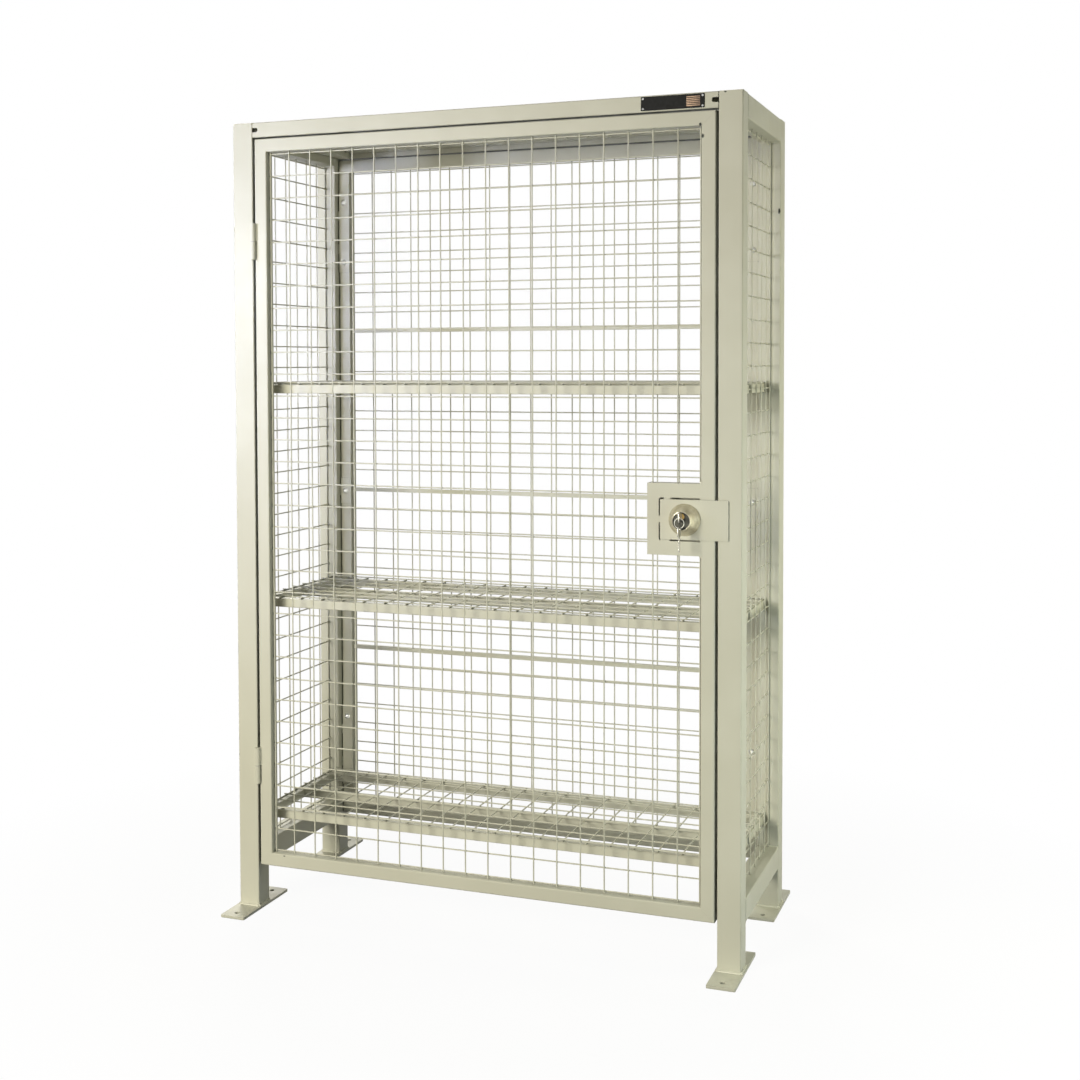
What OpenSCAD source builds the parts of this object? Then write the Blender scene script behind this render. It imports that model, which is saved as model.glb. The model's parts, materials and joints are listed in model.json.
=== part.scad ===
// Upright tool storage cage with one full-height hinged mesh door.
// Four square-tube posts on bolt-down feet carry welded mesh sides, a bolted
// mesh back, a drop-in mesh roof and three fixed mesh shelves. The door turns
// on two weld-on pin hinges and is locked by a key-operated deadbolt.
// Millimetres. Z is up, the front faces -Y, and the origin is on the floor
// at the middle of the footprint.

/* [Cage] */
// Width over the corner posts
cage_w = 1175; // [1000:5:1400]
// Depth over the corner posts
cage_d = 465; // [400:5:700]
// Height from the floor to the top of the posts
cage_h = 1810; // [1700:5:2100]

/* [Posts and side rails] */
// Outside size of the square posts
post_size = 50; // [44:1:60]
// Wall of the post tube
post_wall = 2.5; // [2:0.5:4]
// Outside corner radius of the post tube
post_round = 3; // [2.5:0.5:5]
// Height of the top side rails
side_top_h = 50; // [30:1:60]
// Height of the bottom side rails
side_bottom_h = 50; // [30:1:60]
// Underside of the bottom side rails above the floor
side_bottom_z = 97; // [60:1:120]

/* [Feet] */
// Width of a foot plate across the cage
foot_w = 60; // [60:1:90]
// How far a foot plate runs past the post, front and back
foot_reach = 79.5; // [72:0.5:100]
// Thickness of a foot plate
foot_t = 6; // [4:0.5:10]
// Diameter of the floor bolt holes
foot_hole_d = 12; // [9:0.5:16]
// Distance from the post face to the middle of a floor bolt hole
foot_hole_out = 56; // [50:0.5:62]

/* [Welded mesh] */
// Wire diameter of the welded mesh
wire_d = 3; // [2.5:0.5:4]
// Width of a mesh cell
cell_w = 53; // [40:1:75]
// Height of a mesh cell
cell_h = 50; // [40:1:75]
// Distance of the outermost wire from the frame tube beside it
edge_wire = 4; // [3:0.5:8]

/* [Panel frames] */
// Outside size of the square tube of the door, back and roof frames
tube_size = 30; // [26:1:36]
// Wall of that tube
tube_wall = 2; // [1.5:0.5:3]
// Outside corner radius of that tube
tube_round = 3; // [2.5:0.5:4]
// Height of the front roof rail above the door
front_rail_h = 34; // [32:1:45]
// Slit between a roof frame and the posts and side rails round it
roof_slit = 2.5; // [1:0.5:4]
// Slit between the front roof rail and the posts
front_rail_slit = 0.8; // [0.5:0.1:2]
// Width of the hanging slots in the ends of the front roof rail
slot_w = 10; // [6:0.5:12]
// Length of those slots
slot_l = 14.5; // [12:0.5:20]

/* [Door] */
// Gap between the door and each post
door_gap = 5.5; // [4:0.5:8]
// Gap between the top of the door and the front roof rail
door_top_gap = 3.5; // [2:0.5:8]
// Underside of the door above the floor
door_z0 = 104.5; // [70:0.5:150]

/* [Hinges] */
// Outside diameter of a hinge barrel
barrel_d = 12; // [11:0.5:16]
// Length of one whole hinge
hinge_len = 82; // [60:1:120]
// Diameter of the hinge pin
pin_d = 6.5; // [5:0.5:7]
// Radial running clearance of the pin
pin_fit = 0.06; // [0.04:0.01:0.09]
// Distance from the end of the door to the middle of a hinge
hinge_inset = 232; // [150:1:400]
// Thickness of the washer between the barrels
washer_t = 1; // [0.6:0.1:2]

/* [Back panel] */
// Gap between the back panel and each rear post
back_gap = 1; // [0.5:0.5:3]
// Underside of the back panel above the floor
back_z0 = 107.5; // [90:0.5:150]
// Gap between the back panel and the roof frame above it
back_top_gap = 3.5; // [2:0.5:12]
// Height of the stiffener bars across the back mesh
stiffener_h = 10; // [6:0.5:16]
// Thickness of the stiffener bars
stiffener_t = 5; // [3:0.5:8]
// Height from the middle stiffener to the next one
stiffener_pitch = 404; // [300:1:500]
// Thickness of the fixing tabs on the rear posts
tab_t = 3; // [2:0.5:4]
// Gap between a tab and its post, which the welds bridge
tab_gap = 3; // [1:0.5:4]
// Length of each of those welds
tab_weld_l = 24; // [10:1:40]
// Spacing of the two welds of a long tab
tab_weld_pitch = 84; // [50:1:120]
// Height of the single-bolt tab at mid-height
tab_h = 65; // [40:1:100]
// Height of the two-bolt tabs at top and bottom
long_tab_h = 202; // [180:1:240]
// Distance from mid-height to the middle of a two-bolt tab
long_tab_off = 656; // [560:1:670]
// Spacing of the two bolts in a long tab
tab_pitch = 152; // [120:1:165]
// Diameter of the bolts that hold the back panel
bolt_d = 8; // [6:1:10]
// Diameter of their round heads
bolt_head_d = 15; // [13:0.5:18]
// Height of those heads
bolt_head_h = 5; // [3:0.5:7]

/* [Shelves] */
// Top of the lowest shelf frame above the floor
shelf_z = 222; // [190:1:300]
// Height from one shelf to the next
shelf_pitch = 496; // [350:1:520]
// Size of the square tube of the shelf frames
shelf_tube = 20; // [16:1:25]
// Gap between a shelf and the mesh of each side
shelf_end_gap = 4.5; // [2:0.5:8]

/* [Lock] */
// Width of the lock box on the inside of the door stile
box_w = 113; // [108:1:130]
// Height of the lock box
box_h = 149; // [130:1:180]
// Wall of the lock box
box_wall = 2.5; // [2:0.5:3]
// Distance from the edge of the door to the middle of the lock
backset = 63; // [62:0.5:66]
// Width of the guard plate
guard_w = 143; // [135:1:150]
// Height of the guard plate
guard_h = 83; // [76:1:100]
// Thickness of the guard plate
guard_t = 3; // [2:0.5:4]
// How far the guard plate covers the post
guard_lap = 22.5; // [15:0.5:26]
// Width of the open slit round the guard plate in the front of the lock box
guard_slit = 3.5; // [2:0.5:5]
// Length of the tacks that bridge the slit
tack_l = 14; // [8:1:18]
// Diameter of the foot of the cone collar
collar_d = 66.8; // [62:0.2:72]
// Diameter of the front of the cone collar
collar_front_d = 39; // [38:0.5:48]
// How far the collar stands out from the guard plate
collar_h = 30; // [24:0.5:40]
// Diameter of the lock cylinder
cylinder_d = 33; // [31.5:0.5:34]
// Diameter of the key plug
plug_d = 13; // [12:0.5:13]
// Height of the key plug above the middle of the collar
plug_rise = 9; // [8:0.25:9]
// Radial running clearance of the key plug
plug_fit = 0.08; // [0.05:0.01:0.09]
// Width of the deadbolt, up and down
bolt_h = 25; // [24:0.5:28]
// Thickness of the deadbolt
bolt_t = 14; // [10:0.5:15]
// Travel of the deadbolt
throw_l = 25; // [20:0.5:26]
// Clearance round the deadbolt in its guides
bolt_fit = 0.5; // [0.3:0.1:0.8]
// Diameter of the crank pin that drives the deadbolt
crank_pin_d = 6; // [5:0.5:7]

/* [Keys] */
// Thickness of a key
key_t = 2.2; // [1.8:0.1:2.4]
// Width of a key blade
blade_w = 8; // [7:0.5:8.5]
// Length of a key blade
blade_l = 29; // [24:0.5:32]
// Width of a key bow
bow_w = 23; // [20:0.5:26]
// Length of a key bow
bow_l = 21; // [18:0.5:24]
// Diameter of the hole in a key bow
bow_hole_d = 6; // [5:0.5:7]
// Mean diameter of the key ring
ring_d = 20; // [18:0.5:28]
// Wire of the key ring
ring_wire = 1.6; // [1.2:0.1:2]

/* [Nameplate] */
// Width of the nameplate
plate_w = 133; // [100:1:160]
// Height of the nameplate
plate_h = 28.5; // [24:0.5:30]
// Thickness of the nameplate
plate_t = 1.5; // [1:0.1:2]
// Distance from the right post to the nameplate
plate_inset = 29; // [20:0.5:60]
// Diameter of the rivet heads on the nameplate
rivet_d = 4.6; // [3.5:0.1:5.5]

/* [Hidden] */
$fn = 48;

// Powder coat, bright metal, brass and the dark lock cylinder
paint = [0.83, 0.82, 0.75];
steel = [0.74, 0.74, 0.73];
brass = [0.78, 0.62, 0.30];
dark_metal = [0.25, 0.24, 0.22];
black = [0.05, 0.05, 0.05];

// Faces of the cage
front_y = -cage_d / 2;
back_y = cage_d / 2;
post_x = cage_w / 2 - post_size / 2;
post_y = cage_d / 2 - post_size / 2;
bay_x = cage_w / 2 - post_size;
bay_y = cage_d / 2 - post_size;
cap_t = 3;
foot_round = 3;
// How far a cutting body reaches past the face that it cuts
past = 1;

// Wires of the two layers of a mesh cross with this much between them
weld_gap = 0.06;
layer = (wire_d + weld_gap) / 2;

// Roof frame
roof_z0 = cage_h - tube_size;
roof_x = bay_x - roof_slit;
roof_mesh_z = roof_z0 + tube_size / 2;
front_rail_z0 = cage_h - front_rail_h;
slot_z = front_rail_z0 + front_rail_h / 2;

// Door frame
door_x = bay_x - door_gap;
door_z1 = front_rail_z0 - door_top_gap;
door_mid_z = (door_z0 + door_z1) / 2;
door_back_y = front_y + tube_size;
door_in_x = door_x - tube_size;
door_mesh_y = front_y + tube_size / 2;
miter_gap = 0.1;

// Back frame
back_x = bay_x - back_gap;
back_z1 = roof_z0 - back_top_gap;
back_mid_z = (back_z0 + back_z1) / 2;
back_front_y = back_y - tube_size;
back_in_x = back_x - tube_size;
back_mesh_y = back_y - tube_size / 2;
back_bolt_x = back_x - tube_size / 2;
bolt_hole_d = bolt_d + 1;
bolt_past = 9;
nut_t = 7;
nut_d = bolt_d * 1.7;

// Side mesh openings
side_z0 = side_bottom_z + side_bottom_h;
side_z1 = cage_h - side_top_h;
side_mid_z = (side_z0 + side_z1) / 2;

// Shelves run between the side meshes, behind the front posts
shelf_x = post_x - 2 * layer - shelf_end_gap;
shelf_wall = 1.5;
shelf_round = 2;

// Hinge axis: as far in front of the door face as the barrel needs to
// clear the rounded corners of the post and of the door stile
hinge_x = -(bay_x - door_gap / 2);
barrel_clear = 0.4;
function axis_out(r) =
    sqrt(pow(barrel_d / 2 + r + barrel_clear, 2) - pow(door_gap / 2 + r, 2)) - r;
hinge_out = max(axis_out(post_round), axis_out(tube_round));
hinge_y = front_y - hinge_out;
hinge_zs = [door_z0 + hinge_inset, door_z1 - hinge_inset];
lift_gap = 0.2;
barrel_l = (hinge_len - washer_t - lift_gap) / 2;
pin_reach = barrel_l - 6;
pin_end_gap = 0.5;
bead_r = 2.6;

// Lock
lock_x = door_x - backset;
lock_z = door_mid_z;
box_x0 = door_in_x - box_w;
box_z0 = lock_z - box_h / 2;
box_z1 = lock_z + box_h / 2;
lip_w = 12;
cover_t = 2;
screw_d = 4;
screw_hole_d = screw_d + 0.4;
screw_in = 14;
screw_l = 2 * cover_t + 2;
guard_gap = 0.3;
guard_round = 2;
guard_x = bay_x + guard_lap - guard_w / 2;
slit_end = 1.5;
guard_y = front_y - guard_gap - guard_t;
collar_foot = 1.5;
collar_roll = 1;
cylinder_gap = 0.4;
cylinder_bore_d = cylinder_d + 2 * cylinder_gap;
plug_z = lock_z + plug_rise;
face_in = 2;
cylinder_y0 = guard_y - collar_h + face_in;
cylinder_y1 = front_y + box_wall;
key_slot_w = key_t + 0.5;
key_slot_h = blade_w + 0.5;
key_tip_gap = 1;
plug_out = 0.5;

// Crank behind the plug and the deadbolt that it slides. The crank turns
// through a right angle and hangs straight down in the middle of its swing.
crank_t = 3.5;
crank_gap = 0.4;
crank_hub_r = 8;
crank_arm_w = 10;
crank_y0 = cylinder_y1 + crank_gap;
crank_swing = 45;
crank_r = throw_l / 2 / sin(crank_swing);
crank_pin_past = 1;
bolt_y = front_y + tube_size / 2;
bolt_z = plug_z - crank_r * (1 + cos(crank_swing)) / 2;
bolt_nose = 1;
bolt_chamfer = 2;
bolt_x1 = door_x - bolt_nose;
bolt_tail = 8;
pin_play = 0.9;
bolt_x0 = lock_x - throw_l / 2 - crank_pin_d / 2 - pin_play - bolt_tail;
pin_end_play = 0.8;
slot_z0 = plug_z - crank_r - crank_pin_d / 2 - pin_end_play;
slot_z1 = plug_z - crank_r * cos(crank_swing) + crank_pin_d / 2 + pin_end_play;
guide_l = 12;
guide_rim = 6;
guide_back = 4;

// Keys: one stands in the plug, the other hangs below it on the ring
bow_gap = 2;
bow_rim = 2.5;
bow_round = 6;
bow_end = bow_hole_d / 2 + bow_rim;
bow_hole_y = cylinder_y0 - bow_gap - bow_l + bow_end;
key_tip = 2.5;
key_tip_w = 2;
cut_pitch = 5.2;
cut_sizes = [1.4, 2.2, 1.4, 2.2];
ring_play = 0.3;
hang = (bow_hole_d - ring_wire) / 2 - ring_play;
ring_top_z = plug_z - hang;
ring_z = ring_top_z - ring_d / 2;
spare_hole_z = ring_top_z - ring_d - hang;

// Nameplate
plate_x1 = bay_x - plate_inset;
plate_x = plate_x1 - plate_w / 2;
plate_z = front_rail_z0 + front_rail_h / 2;
plate_round = 1.5;
rivet_in = 4;
rivet_shank_d = rivet_d * 0.5;
rivet_hole_d = rivet_shank_d + 0.4;
rivet_head_h = 1.6;

// Rows of wires, spread evenly about the middle of a span. Mesh sheets are
// cut either on a wire (odd) or between two wires (even).
function odd_rows(span, pitch) =
    let (n = 2 * floor((span / 2 - wire_d) / pitch) + 1)
    [for (i = [0 : n - 1]) (i - (n - 1) / 2) * pitch];
function even_rows(span, pitch) =
    let (n = 2 * floor((span / 2 - wire_d) / pitch + 0.5))
    [for (i = [0 : n - 1]) (i - (n - 1) / 2) * pitch];
// An edge wire closes the sheet where the last row lies far from the frame
function closed_rows(rows, span, pitch) =
    let (last = rows[len(rows) - 1], edge = span / 2 - edge_wire)
    span / 2 - last > pitch / 2 ? concat([-edge], rows, [edge]) : rows;

// Rounded rectangle and the square tube section made from it
module rounded(a, b, r) {
    square([a - 2 * r, b], center = true);
    square([a, b - 2 * r], center = true);
    for (sx = [-1, 1], sy = [-1, 1])
        translate([sx * (a / 2 - r), sy * (b / 2 - r)]) circle(r = r);
}

module tube_section(a, b, wall, r) {
    difference() {
        rounded(a, b, r);
        rounded(a - 2 * wall, b - 2 * wall, max(r - wall, 0.5));
    }
}

// Tubes along each axis, from one end to the other, centred on that axis
module tube_z(z0, z1, a, b, wall, r)
    translate([0, 0, z0]) linear_extrude(height = z1 - z0) tube_section(a, b, wall, r);

module tube_x(x0, x1, b, h, wall, r)
    translate([x0, 0, 0]) rotate([90, 0, 90])
        linear_extrude(height = x1 - x0) tube_section(b, h, wall, r);

module tube_y(y0, y1, a, h, wall, r)
    translate([0, y1, 0]) rotate([90, 0, 0])
        linear_extrude(height = y1 - y0) tube_section(a, h, wall, r);

// Straight wires along each axis
module wire_x(x0, x1)
    translate([x0, 0, 0]) rotate([0, 90, 0]) cylinder(d = wire_d, h = x1 - x0);

module wire_y(y0, y1)
    translate([0, y1, 0]) rotate([90, 0, 0]) cylinder(d = wire_d, h = y1 - y0);

module wire_z(z0, z1)
    translate([0, 0, z0]) cylinder(d = wire_d, h = z1 - z0);

// A member of a mitred panel frame: the straight tube is cut to the outline
// of a trapezium that has the long side outwards
module panel_member(x, z0, z1, y, side) {
    s = tube_size;
    g = miter_gap;
    outline =
        side == "left" ? [[-x, z0], [-x, z1], [-x + s, z1 - s], [-x + s, z0 + s]] :
        side == "right" ? [[x, z0], [x, z1], [x - s, z1 - s], [x - s, z0 + s]] :
        side == "bottom" ? [[-x + g, z0], [x - g, z0], [x - s - g, z0 + s], [-x + s + g, z0 + s]] :
        [[-x + g, z1], [x - g, z1], [x - s - g, z1 - s], [-x + s + g, z1 - s]];
    intersection() {
        if (side == "left" || side == "right")
            translate([(side == "left" ? -1 : 1) * (x - s / 2), y + s / 2, 0])
                tube_z(z0, z1, s, s, tube_wall, tube_round);
        else
            translate([0, y + s / 2, side == "bottom" ? z0 + s / 2 : z1 - s / 2])
                tube_x(-x, x, s, s, tube_wall, tube_round);
        translate([0, y + s, 0]) rotate([90, 0, 0]) linear_extrude(height = s) polygon(outline);
    }
}

// Round head: a cap of a sphere on the plane z = 0
module round_head(d, h) {
    ball_r = (pow(d / 2, 2) + pow(h, 2)) / (2 * h);
    rotate_extrude() intersection() {
        translate([0, h - ball_r]) circle(r = ball_r);
        square([d / 2, h]);
    }
}

// Posts
module corner_post(sx, sy)
    translate([sx * post_x, sy * post_y, 0])
        tube_z(foot_t, cage_h - cap_t, post_size, post_size, post_wall, post_round);

module post_front_left() color(paint) corner_post(-1, -1);

// The right front post takes the deadbolt through a slot in its inner wall
module post_front_right() color(paint) difference() {
    corner_post(1, -1);
    translate([bay_x - past, 0, 0]) bolt_window(post_wall + 2 * past);
}

module post_rear_left() color(paint) corner_post(-1, 1);

module post_rear_right() color(paint) corner_post(1, 1);

module post_caps() color(paint)
    for (sx = [-1, 1], sy = [-1, 1])
        translate([sx * post_x, sy * post_y, cage_h - cap_t])
            linear_extrude(height = cap_t) rounded(post_size, post_size, post_round);

module foot_plates() color(paint)
    for (sx = [-1, 1], sy = [-1, 1])
        translate([sx * post_x, sy * post_y, 0]) difference() {
            linear_extrude(height = foot_t)
                rounded(foot_w, post_size + 2 * foot_reach, foot_round);
            for (side = [-1, 1])
                translate([0, side * (post_size / 2 + foot_hole_out), -past])
                    cylinder(d = foot_hole_d, h = foot_t + 2 * past);
        }

// Side frames
module side_rail(sx, z0, h)
    translate([sx * post_x, 0, z0 + h / 2])
        tube_y(-bay_y, bay_y, post_size, h, post_wall, post_round);

module side_rail_top_left() color(paint) side_rail(-1, side_z1, side_top_h);

module side_rail_top_right() color(paint) side_rail(1, side_z1, side_top_h);

module side_rail_bottom_left() color(paint) side_rail(-1, side_bottom_z, side_bottom_h);

module side_rail_bottom_right() color(paint) side_rail(1, side_bottom_z, side_bottom_h);

// Upright wires lie outside, level wires inside
module side_mesh(sx) {
    uprights = closed_rows(even_rows(2 * bay_y, cell_w), 2 * bay_y, cell_w);
    levels = odd_rows(side_z1 - side_z0, cell_h);
    for (y = uprights)
        translate([sx * (post_x + layer), y, 0]) wire_z(side_z0, side_z1);
    for (z = levels)
        translate([sx * (post_x - layer), 0, side_mid_z + z]) wire_y(-bay_y, bay_y);
}

module side_mesh_left() color(paint) side_mesh(-1);

module side_mesh_right() color(paint) side_mesh(1);

// Roof frame. The front rail is deeper and shows above the door.
module front_top_rail() {
    x = bay_x - front_rail_slit;
    color(paint) difference() {
        translate([0, front_y + tube_size / 2, front_rail_z0 + front_rail_h / 2])
            tube_x(-x, x, tube_size, front_rail_h, tube_wall, tube_round);
        for (sx = [-1, 1])
            translate([sx * bay_x, front_y - past, slot_z]) rotate([-90, 0, 0]) {
                translate([-sx * (slot_l - slot_w / 2), 0, 0])
                    cylinder(d = slot_w, h = tube_wall + 2 * past);
                translate([-sx * (slot_l - slot_w / 2) / 2, 0, tube_wall / 2 + past])
                    cube([slot_l - slot_w / 2, slot_w, tube_wall + 2 * past], center = true);
            }
    }
}

module roof_rail_rear() color(paint)
    translate([0, back_y - tube_size / 2, roof_z0 + tube_size / 2])
        tube_x(-roof_x, roof_x, tube_size, tube_size, tube_wall, tube_round);

module roof_rail_side(sx)
    translate([sx * (roof_x - tube_size / 2), 0, roof_z0 + tube_size / 2])
        tube_y(door_back_y, back_front_y, tube_size, tube_size, tube_wall, tube_round);

module roof_rail_left() color(paint) roof_rail_side(-1);

module roof_rail_right() color(paint) roof_rail_side(1);

module roof_mesh() {
    x = roof_x - tube_size;
    y = back_front_y;
    color(paint) {
        for (u = closed_rows(even_rows(2 * x, cell_w), 2 * x, cell_w))
            translate([u, 0, roof_mesh_z + layer]) wire_y(-y, y);
        for (v = closed_rows(even_rows(2 * y, cell_h), 2 * y, cell_h))
            translate([0, v, roof_mesh_z - layer]) wire_x(-x, x);
    }
}

// Back panel, bolted to tabs on the rear posts
module back_member(side) {
    difference() {
        panel_member(back_x, back_z0, back_z1, back_front_y, side);
        for (sx = [-1, 1], z = back_bolt_zs())
            translate([sx * back_bolt_x, back_front_y - past, z]) rotate([-90, 0, 0])
                cylinder(d = bolt_hole_d, h = tube_size + 2 * past);
    }
}

function back_bolt_zs() = [
    for (s = [-1, 0, 1], t = s == 0 ? [0] : [-0.5, 0.5])
        door_mid_z + s * long_tab_off + t * tab_pitch
];

module back_stile_left() color(paint) back_member("left");

module back_stile_right() color(paint) back_member("right");

module back_rail_top() color(paint)
    panel_member(back_x, back_z0, back_z1, back_front_y, "top");

module back_rail_bottom() color(paint)
    panel_member(back_x, back_z0, back_z1, back_front_y, "bottom");

module back_stiffeners() color(paint)
    for (row = [-1, 0, 1])
        translate([-back_in_x, back_mesh_y - 2 * layer - stiffener_t,
                   back_mid_z + row * stiffener_pitch - stiffener_h / 2])
            cube([2 * back_in_x, stiffener_t, stiffener_h]);

// Level wires lie inside, against the stiffeners
module back_mesh() {
    h = back_z1 - back_z0 - 2 * tube_size;
    color(paint) {
        for (x = closed_rows(even_rows(2 * back_in_x, cell_w), 2 * back_in_x, cell_w))
            translate([x, back_mesh_y + layer, back_mid_z]) wire_z(-h / 2, h / 2);
        for (z = odd_rows(h, cell_h))
            translate([0, back_mesh_y - layer, back_mid_z + z]) wire_x(-back_in_x, back_in_x);
    }
}

// Each tab stands off its post by a slit that short welds bridge
module back_tabs() color(paint)
    for (sx = [-1, 1], s = [-1, 0, 1]) {
        h = s == 0 ? tab_h : long_tab_h;
        w = tube_size + back_gap - tab_gap;
        z = door_mid_z + s * long_tab_off;
        difference() {
            translate([sx * (back_in_x + w / 2), back_front_y - tab_t / 2, z])
                cube([w, tab_t, h], center = true);
            for (t = s == 0 ? [0] : [-0.5, 0.5])
                translate([sx * back_bolt_x, back_front_y - tab_t - past, z + t * tab_pitch])
                    rotate([-90, 0, 0]) cylinder(d = bolt_hole_d, h = tab_t + 2 * past);
        }
        for (t = s == 0 ? [0] : [-0.5, 0.5])
            translate([sx * (bay_x - tab_gap / 2), back_front_y - tab_t / 2, z + t * tab_weld_pitch])
                cube([tab_gap, tab_t, tab_weld_l], center = true);
    }

// Round-head bolts through the tab and the stile, each with its nut behind
module back_bolts() color(steel)
    for (sx = [-1, 1], z = back_bolt_zs())
        translate([sx * back_bolt_x, back_front_y - tab_t, z]) rotate([90, 0, 0]) {
            round_head(bolt_head_d, bolt_head_h);
            translate([0, 0, -tab_t - tube_size - bolt_past])
                cylinder(d = bolt_d, h = bolt_past + tube_size + tab_t);
            translate([0, 0, -tab_t - tube_size - nut_t]) cylinder(d = nut_d, h = nut_t, $fn = 6);
        }

// Shelves
module shelf_bars(i) color(paint)
    for (y = [-1, 0, 1])
        translate([0, y * (bay_y - shelf_tube / 2), shelf_level(i) - shelf_tube / 2])
            tube_x(-shelf_x, shelf_x, shelf_tube, shelf_tube, shelf_wall, shelf_round);

function shelf_level(i) = shelf_z + (i - 1) * shelf_pitch;

// Each end of a shelf frame is closed by two short tubes between the bars
module shelf_ends(i) color(paint)
    for (sx = [-1, 1], sy = [-1, 1])
        translate([sx * (shelf_x - shelf_tube / 2), sy * bay_y / 2, shelf_level(i) - shelf_tube / 2])
            tube_y(-bay_y / 2 + (sy < 0 ? shelf_tube : shelf_tube / 2),
                   bay_y / 2 - (sy < 0 ? shelf_tube / 2 : shelf_tube),
                   shelf_tube, shelf_tube, shelf_wall, shelf_round);

// Short wires lie on the bars, long wires on top of them
module shelf_mesh(i) color(paint) {
    z = shelf_level(i) + wire_d / 2;
    for (x = closed_rows(even_rows(2 * shelf_x, cell_w), 2 * shelf_x, cell_w))
        translate([x, 0, z]) wire_y(-bay_y, bay_y);
    for (y = even_rows(2 * bay_y, cell_h))
        translate([0, y, z + 2 * layer]) wire_x(-shelf_x, shelf_x);
}

// Nameplate
module nameplate() color(black) difference() {
    translate([plate_x, front_y, plate_z]) rotate([90, 0, 0])
        linear_extrude(height = plate_t) rounded(plate_w, plate_h, plate_round);
    rivet_places() cylinder(d = rivet_hole_d, h = 2 * (plate_t + past), center = true);
}

module rivet_places()
    for (sx = [-1, 1], sz = [-1, 1])
        translate([plate_x + sx * (plate_w / 2 - rivet_in), front_y,
                   plate_z + sz * (plate_h / 2 - rivet_in)])
            rotate([90, 0, 0]) children();

module nameplate_rivets() color(steel) rivet_places() {
    translate([0, 0, plate_t]) round_head(rivet_d, rivet_head_h);
    cylinder(d = rivet_shank_d, h = plate_t);
}

// Weld-on hinges: the lower half carries the pin and is welded to the post
module bead(side) intersection() {
    translate([side * barrel_d / 2, hinge_out]) circle(r = bead_r);
    translate([-barrel_d, hinge_out - barrel_d]) square([2 * barrel_d, barrel_d]);
}

module post_hinge_halves() color(paint)
    for (z = hinge_zs)
        translate([hinge_x, hinge_y, z - hinge_len / 2]) {
            linear_extrude(height = barrel_l) {
                circle(d = barrel_d);
                bead(-1);
            }
            cylinder(d = pin_d, h = barrel_l + washer_t + lift_gap + pin_reach);
        }

module hinge_washers() color(brass)
    for (z = hinge_zs)
        translate([hinge_x, hinge_y, z - hinge_len / 2 + barrel_l]) difference() {
            cylinder(d = barrel_d - 1, h = washer_t);
            translate([0, 0, -past]) cylinder(d = pin_d + 0.6, h = washer_t + 2 * past);
        }

module door_hinge_halves() color(paint)
    for (z = hinge_zs)
        translate([hinge_x, hinge_y, z + hinge_len / 2 - barrel_l]) difference() {
            linear_extrude(height = barrel_l) {
                circle(d = barrel_d);
                bead(1);
            }
            translate([0, 0, -past])
                cylinder(d = pin_d + 2 * pin_fit, h = past + pin_reach + pin_end_gap);
        }

// Door frame
module door_stile_left() color(paint)
    panel_member(door_x, door_z0, door_z1, front_y, "left");

module bolt_window(l)
    translate([0, bolt_y - bolt_t / 2 - bolt_fit, bolt_z - bolt_h / 2 - bolt_fit])
        cube([l, bolt_t + 2 * bolt_fit, bolt_h + 2 * bolt_fit]);

module door_stile_right() color(paint) difference() {
    panel_member(door_x, door_z0, door_z1, front_y, "right");
    translate([door_in_x - past, 0, 0]) bolt_window(tube_size + 2 * past);
}

module door_rail_top() color(paint)
    panel_member(door_x, door_z0, door_z1, front_y, "top");

module door_rail_bottom() color(paint)
    panel_member(door_x, door_z0, door_z1, front_y, "bottom");

// Wires that meet the lock box stop at its walls
module door_mesh() {
    h = door_z1 - door_z0 - 2 * tube_size;
    z0 = door_mid_z - h / 2;
    z1 = door_mid_z + h / 2;
    color(paint) {
        for (x = closed_rows(even_rows(2 * door_in_x, cell_w), 2 * door_in_x, cell_w))
            translate([x, door_mesh_y - layer, 0])
                if (x + wire_d > box_x0) {
                    wire_z(z0, box_z0);
                    wire_z(box_z1, z1);
                } else wire_z(z0, z1);
        for (z = [for (r = odd_rows(h, cell_h)) door_mid_z + r])
            translate([0, door_mesh_y + layer, z])
                wire_x(-door_in_x, z + wire_d > box_z0 && z - wire_d < box_z1 ? box_x0 : door_in_x);
    }
}

// Lock box: a folded tray welded against the stile, open at the back. Its
// front is slit round the guard plate, apart from the tacks.
module lock_box() color(paint) difference() {
    translate([box_x0, front_y, box_z0]) cube([box_w, tube_size, box_h]);
    translate([box_x0 + box_wall, front_y + box_wall, box_z0 + box_wall])
        cube([box_w, tube_size - box_wall - cover_t, box_h - 2 * box_wall]);
    translate([box_x0 + box_wall, front_y + tube_size / 2, box_z0 + lip_w])
        cube([box_w, tube_size, box_h - 2 * lip_w]);
    translate([lock_x, front_y - past, lock_z]) rotate([-90, 0, 0])
        cylinder(d = cylinder_bore_d, h = box_wall + 2 * past);
    screw_places() cylinder(d = screw_hole_d, h = 3 * cover_t, center = true);
    translate([guard_x, front_y + box_wall + past, lock_z]) rotate([90, 0, 0])
        linear_extrude(height = box_wall + 2 * past) guard_slits();
}

// The slit follows the left, upper and lower edge of the guard plate. Tacks
// stand half-way up, beside the upper corner and along the lower corner.
module guard_slits() {
    w = guard_w / 2;
    h = guard_h / 2;
    s = guard_slit;
    difference() {
        rounded(guard_w + 2 * s, guard_h + 2 * s, guard_round + s);
        rounded(guard_w, guard_h, guard_round);
        translate([door_in_x - slit_end - guard_x, -h - 2 * s]) square([w + 2 * s, 2 * h + 4 * s]);
        translate([-w - 2 * s, -tack_l / 2]) square([3 * s, tack_l]);
        translate([-w + tack_l / 2, h - s]) square([tack_l, 3 * s]);
        translate([-w, -h - 2 * s]) square([1.4 * tack_l, 3 * s]);
    }
}

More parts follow.
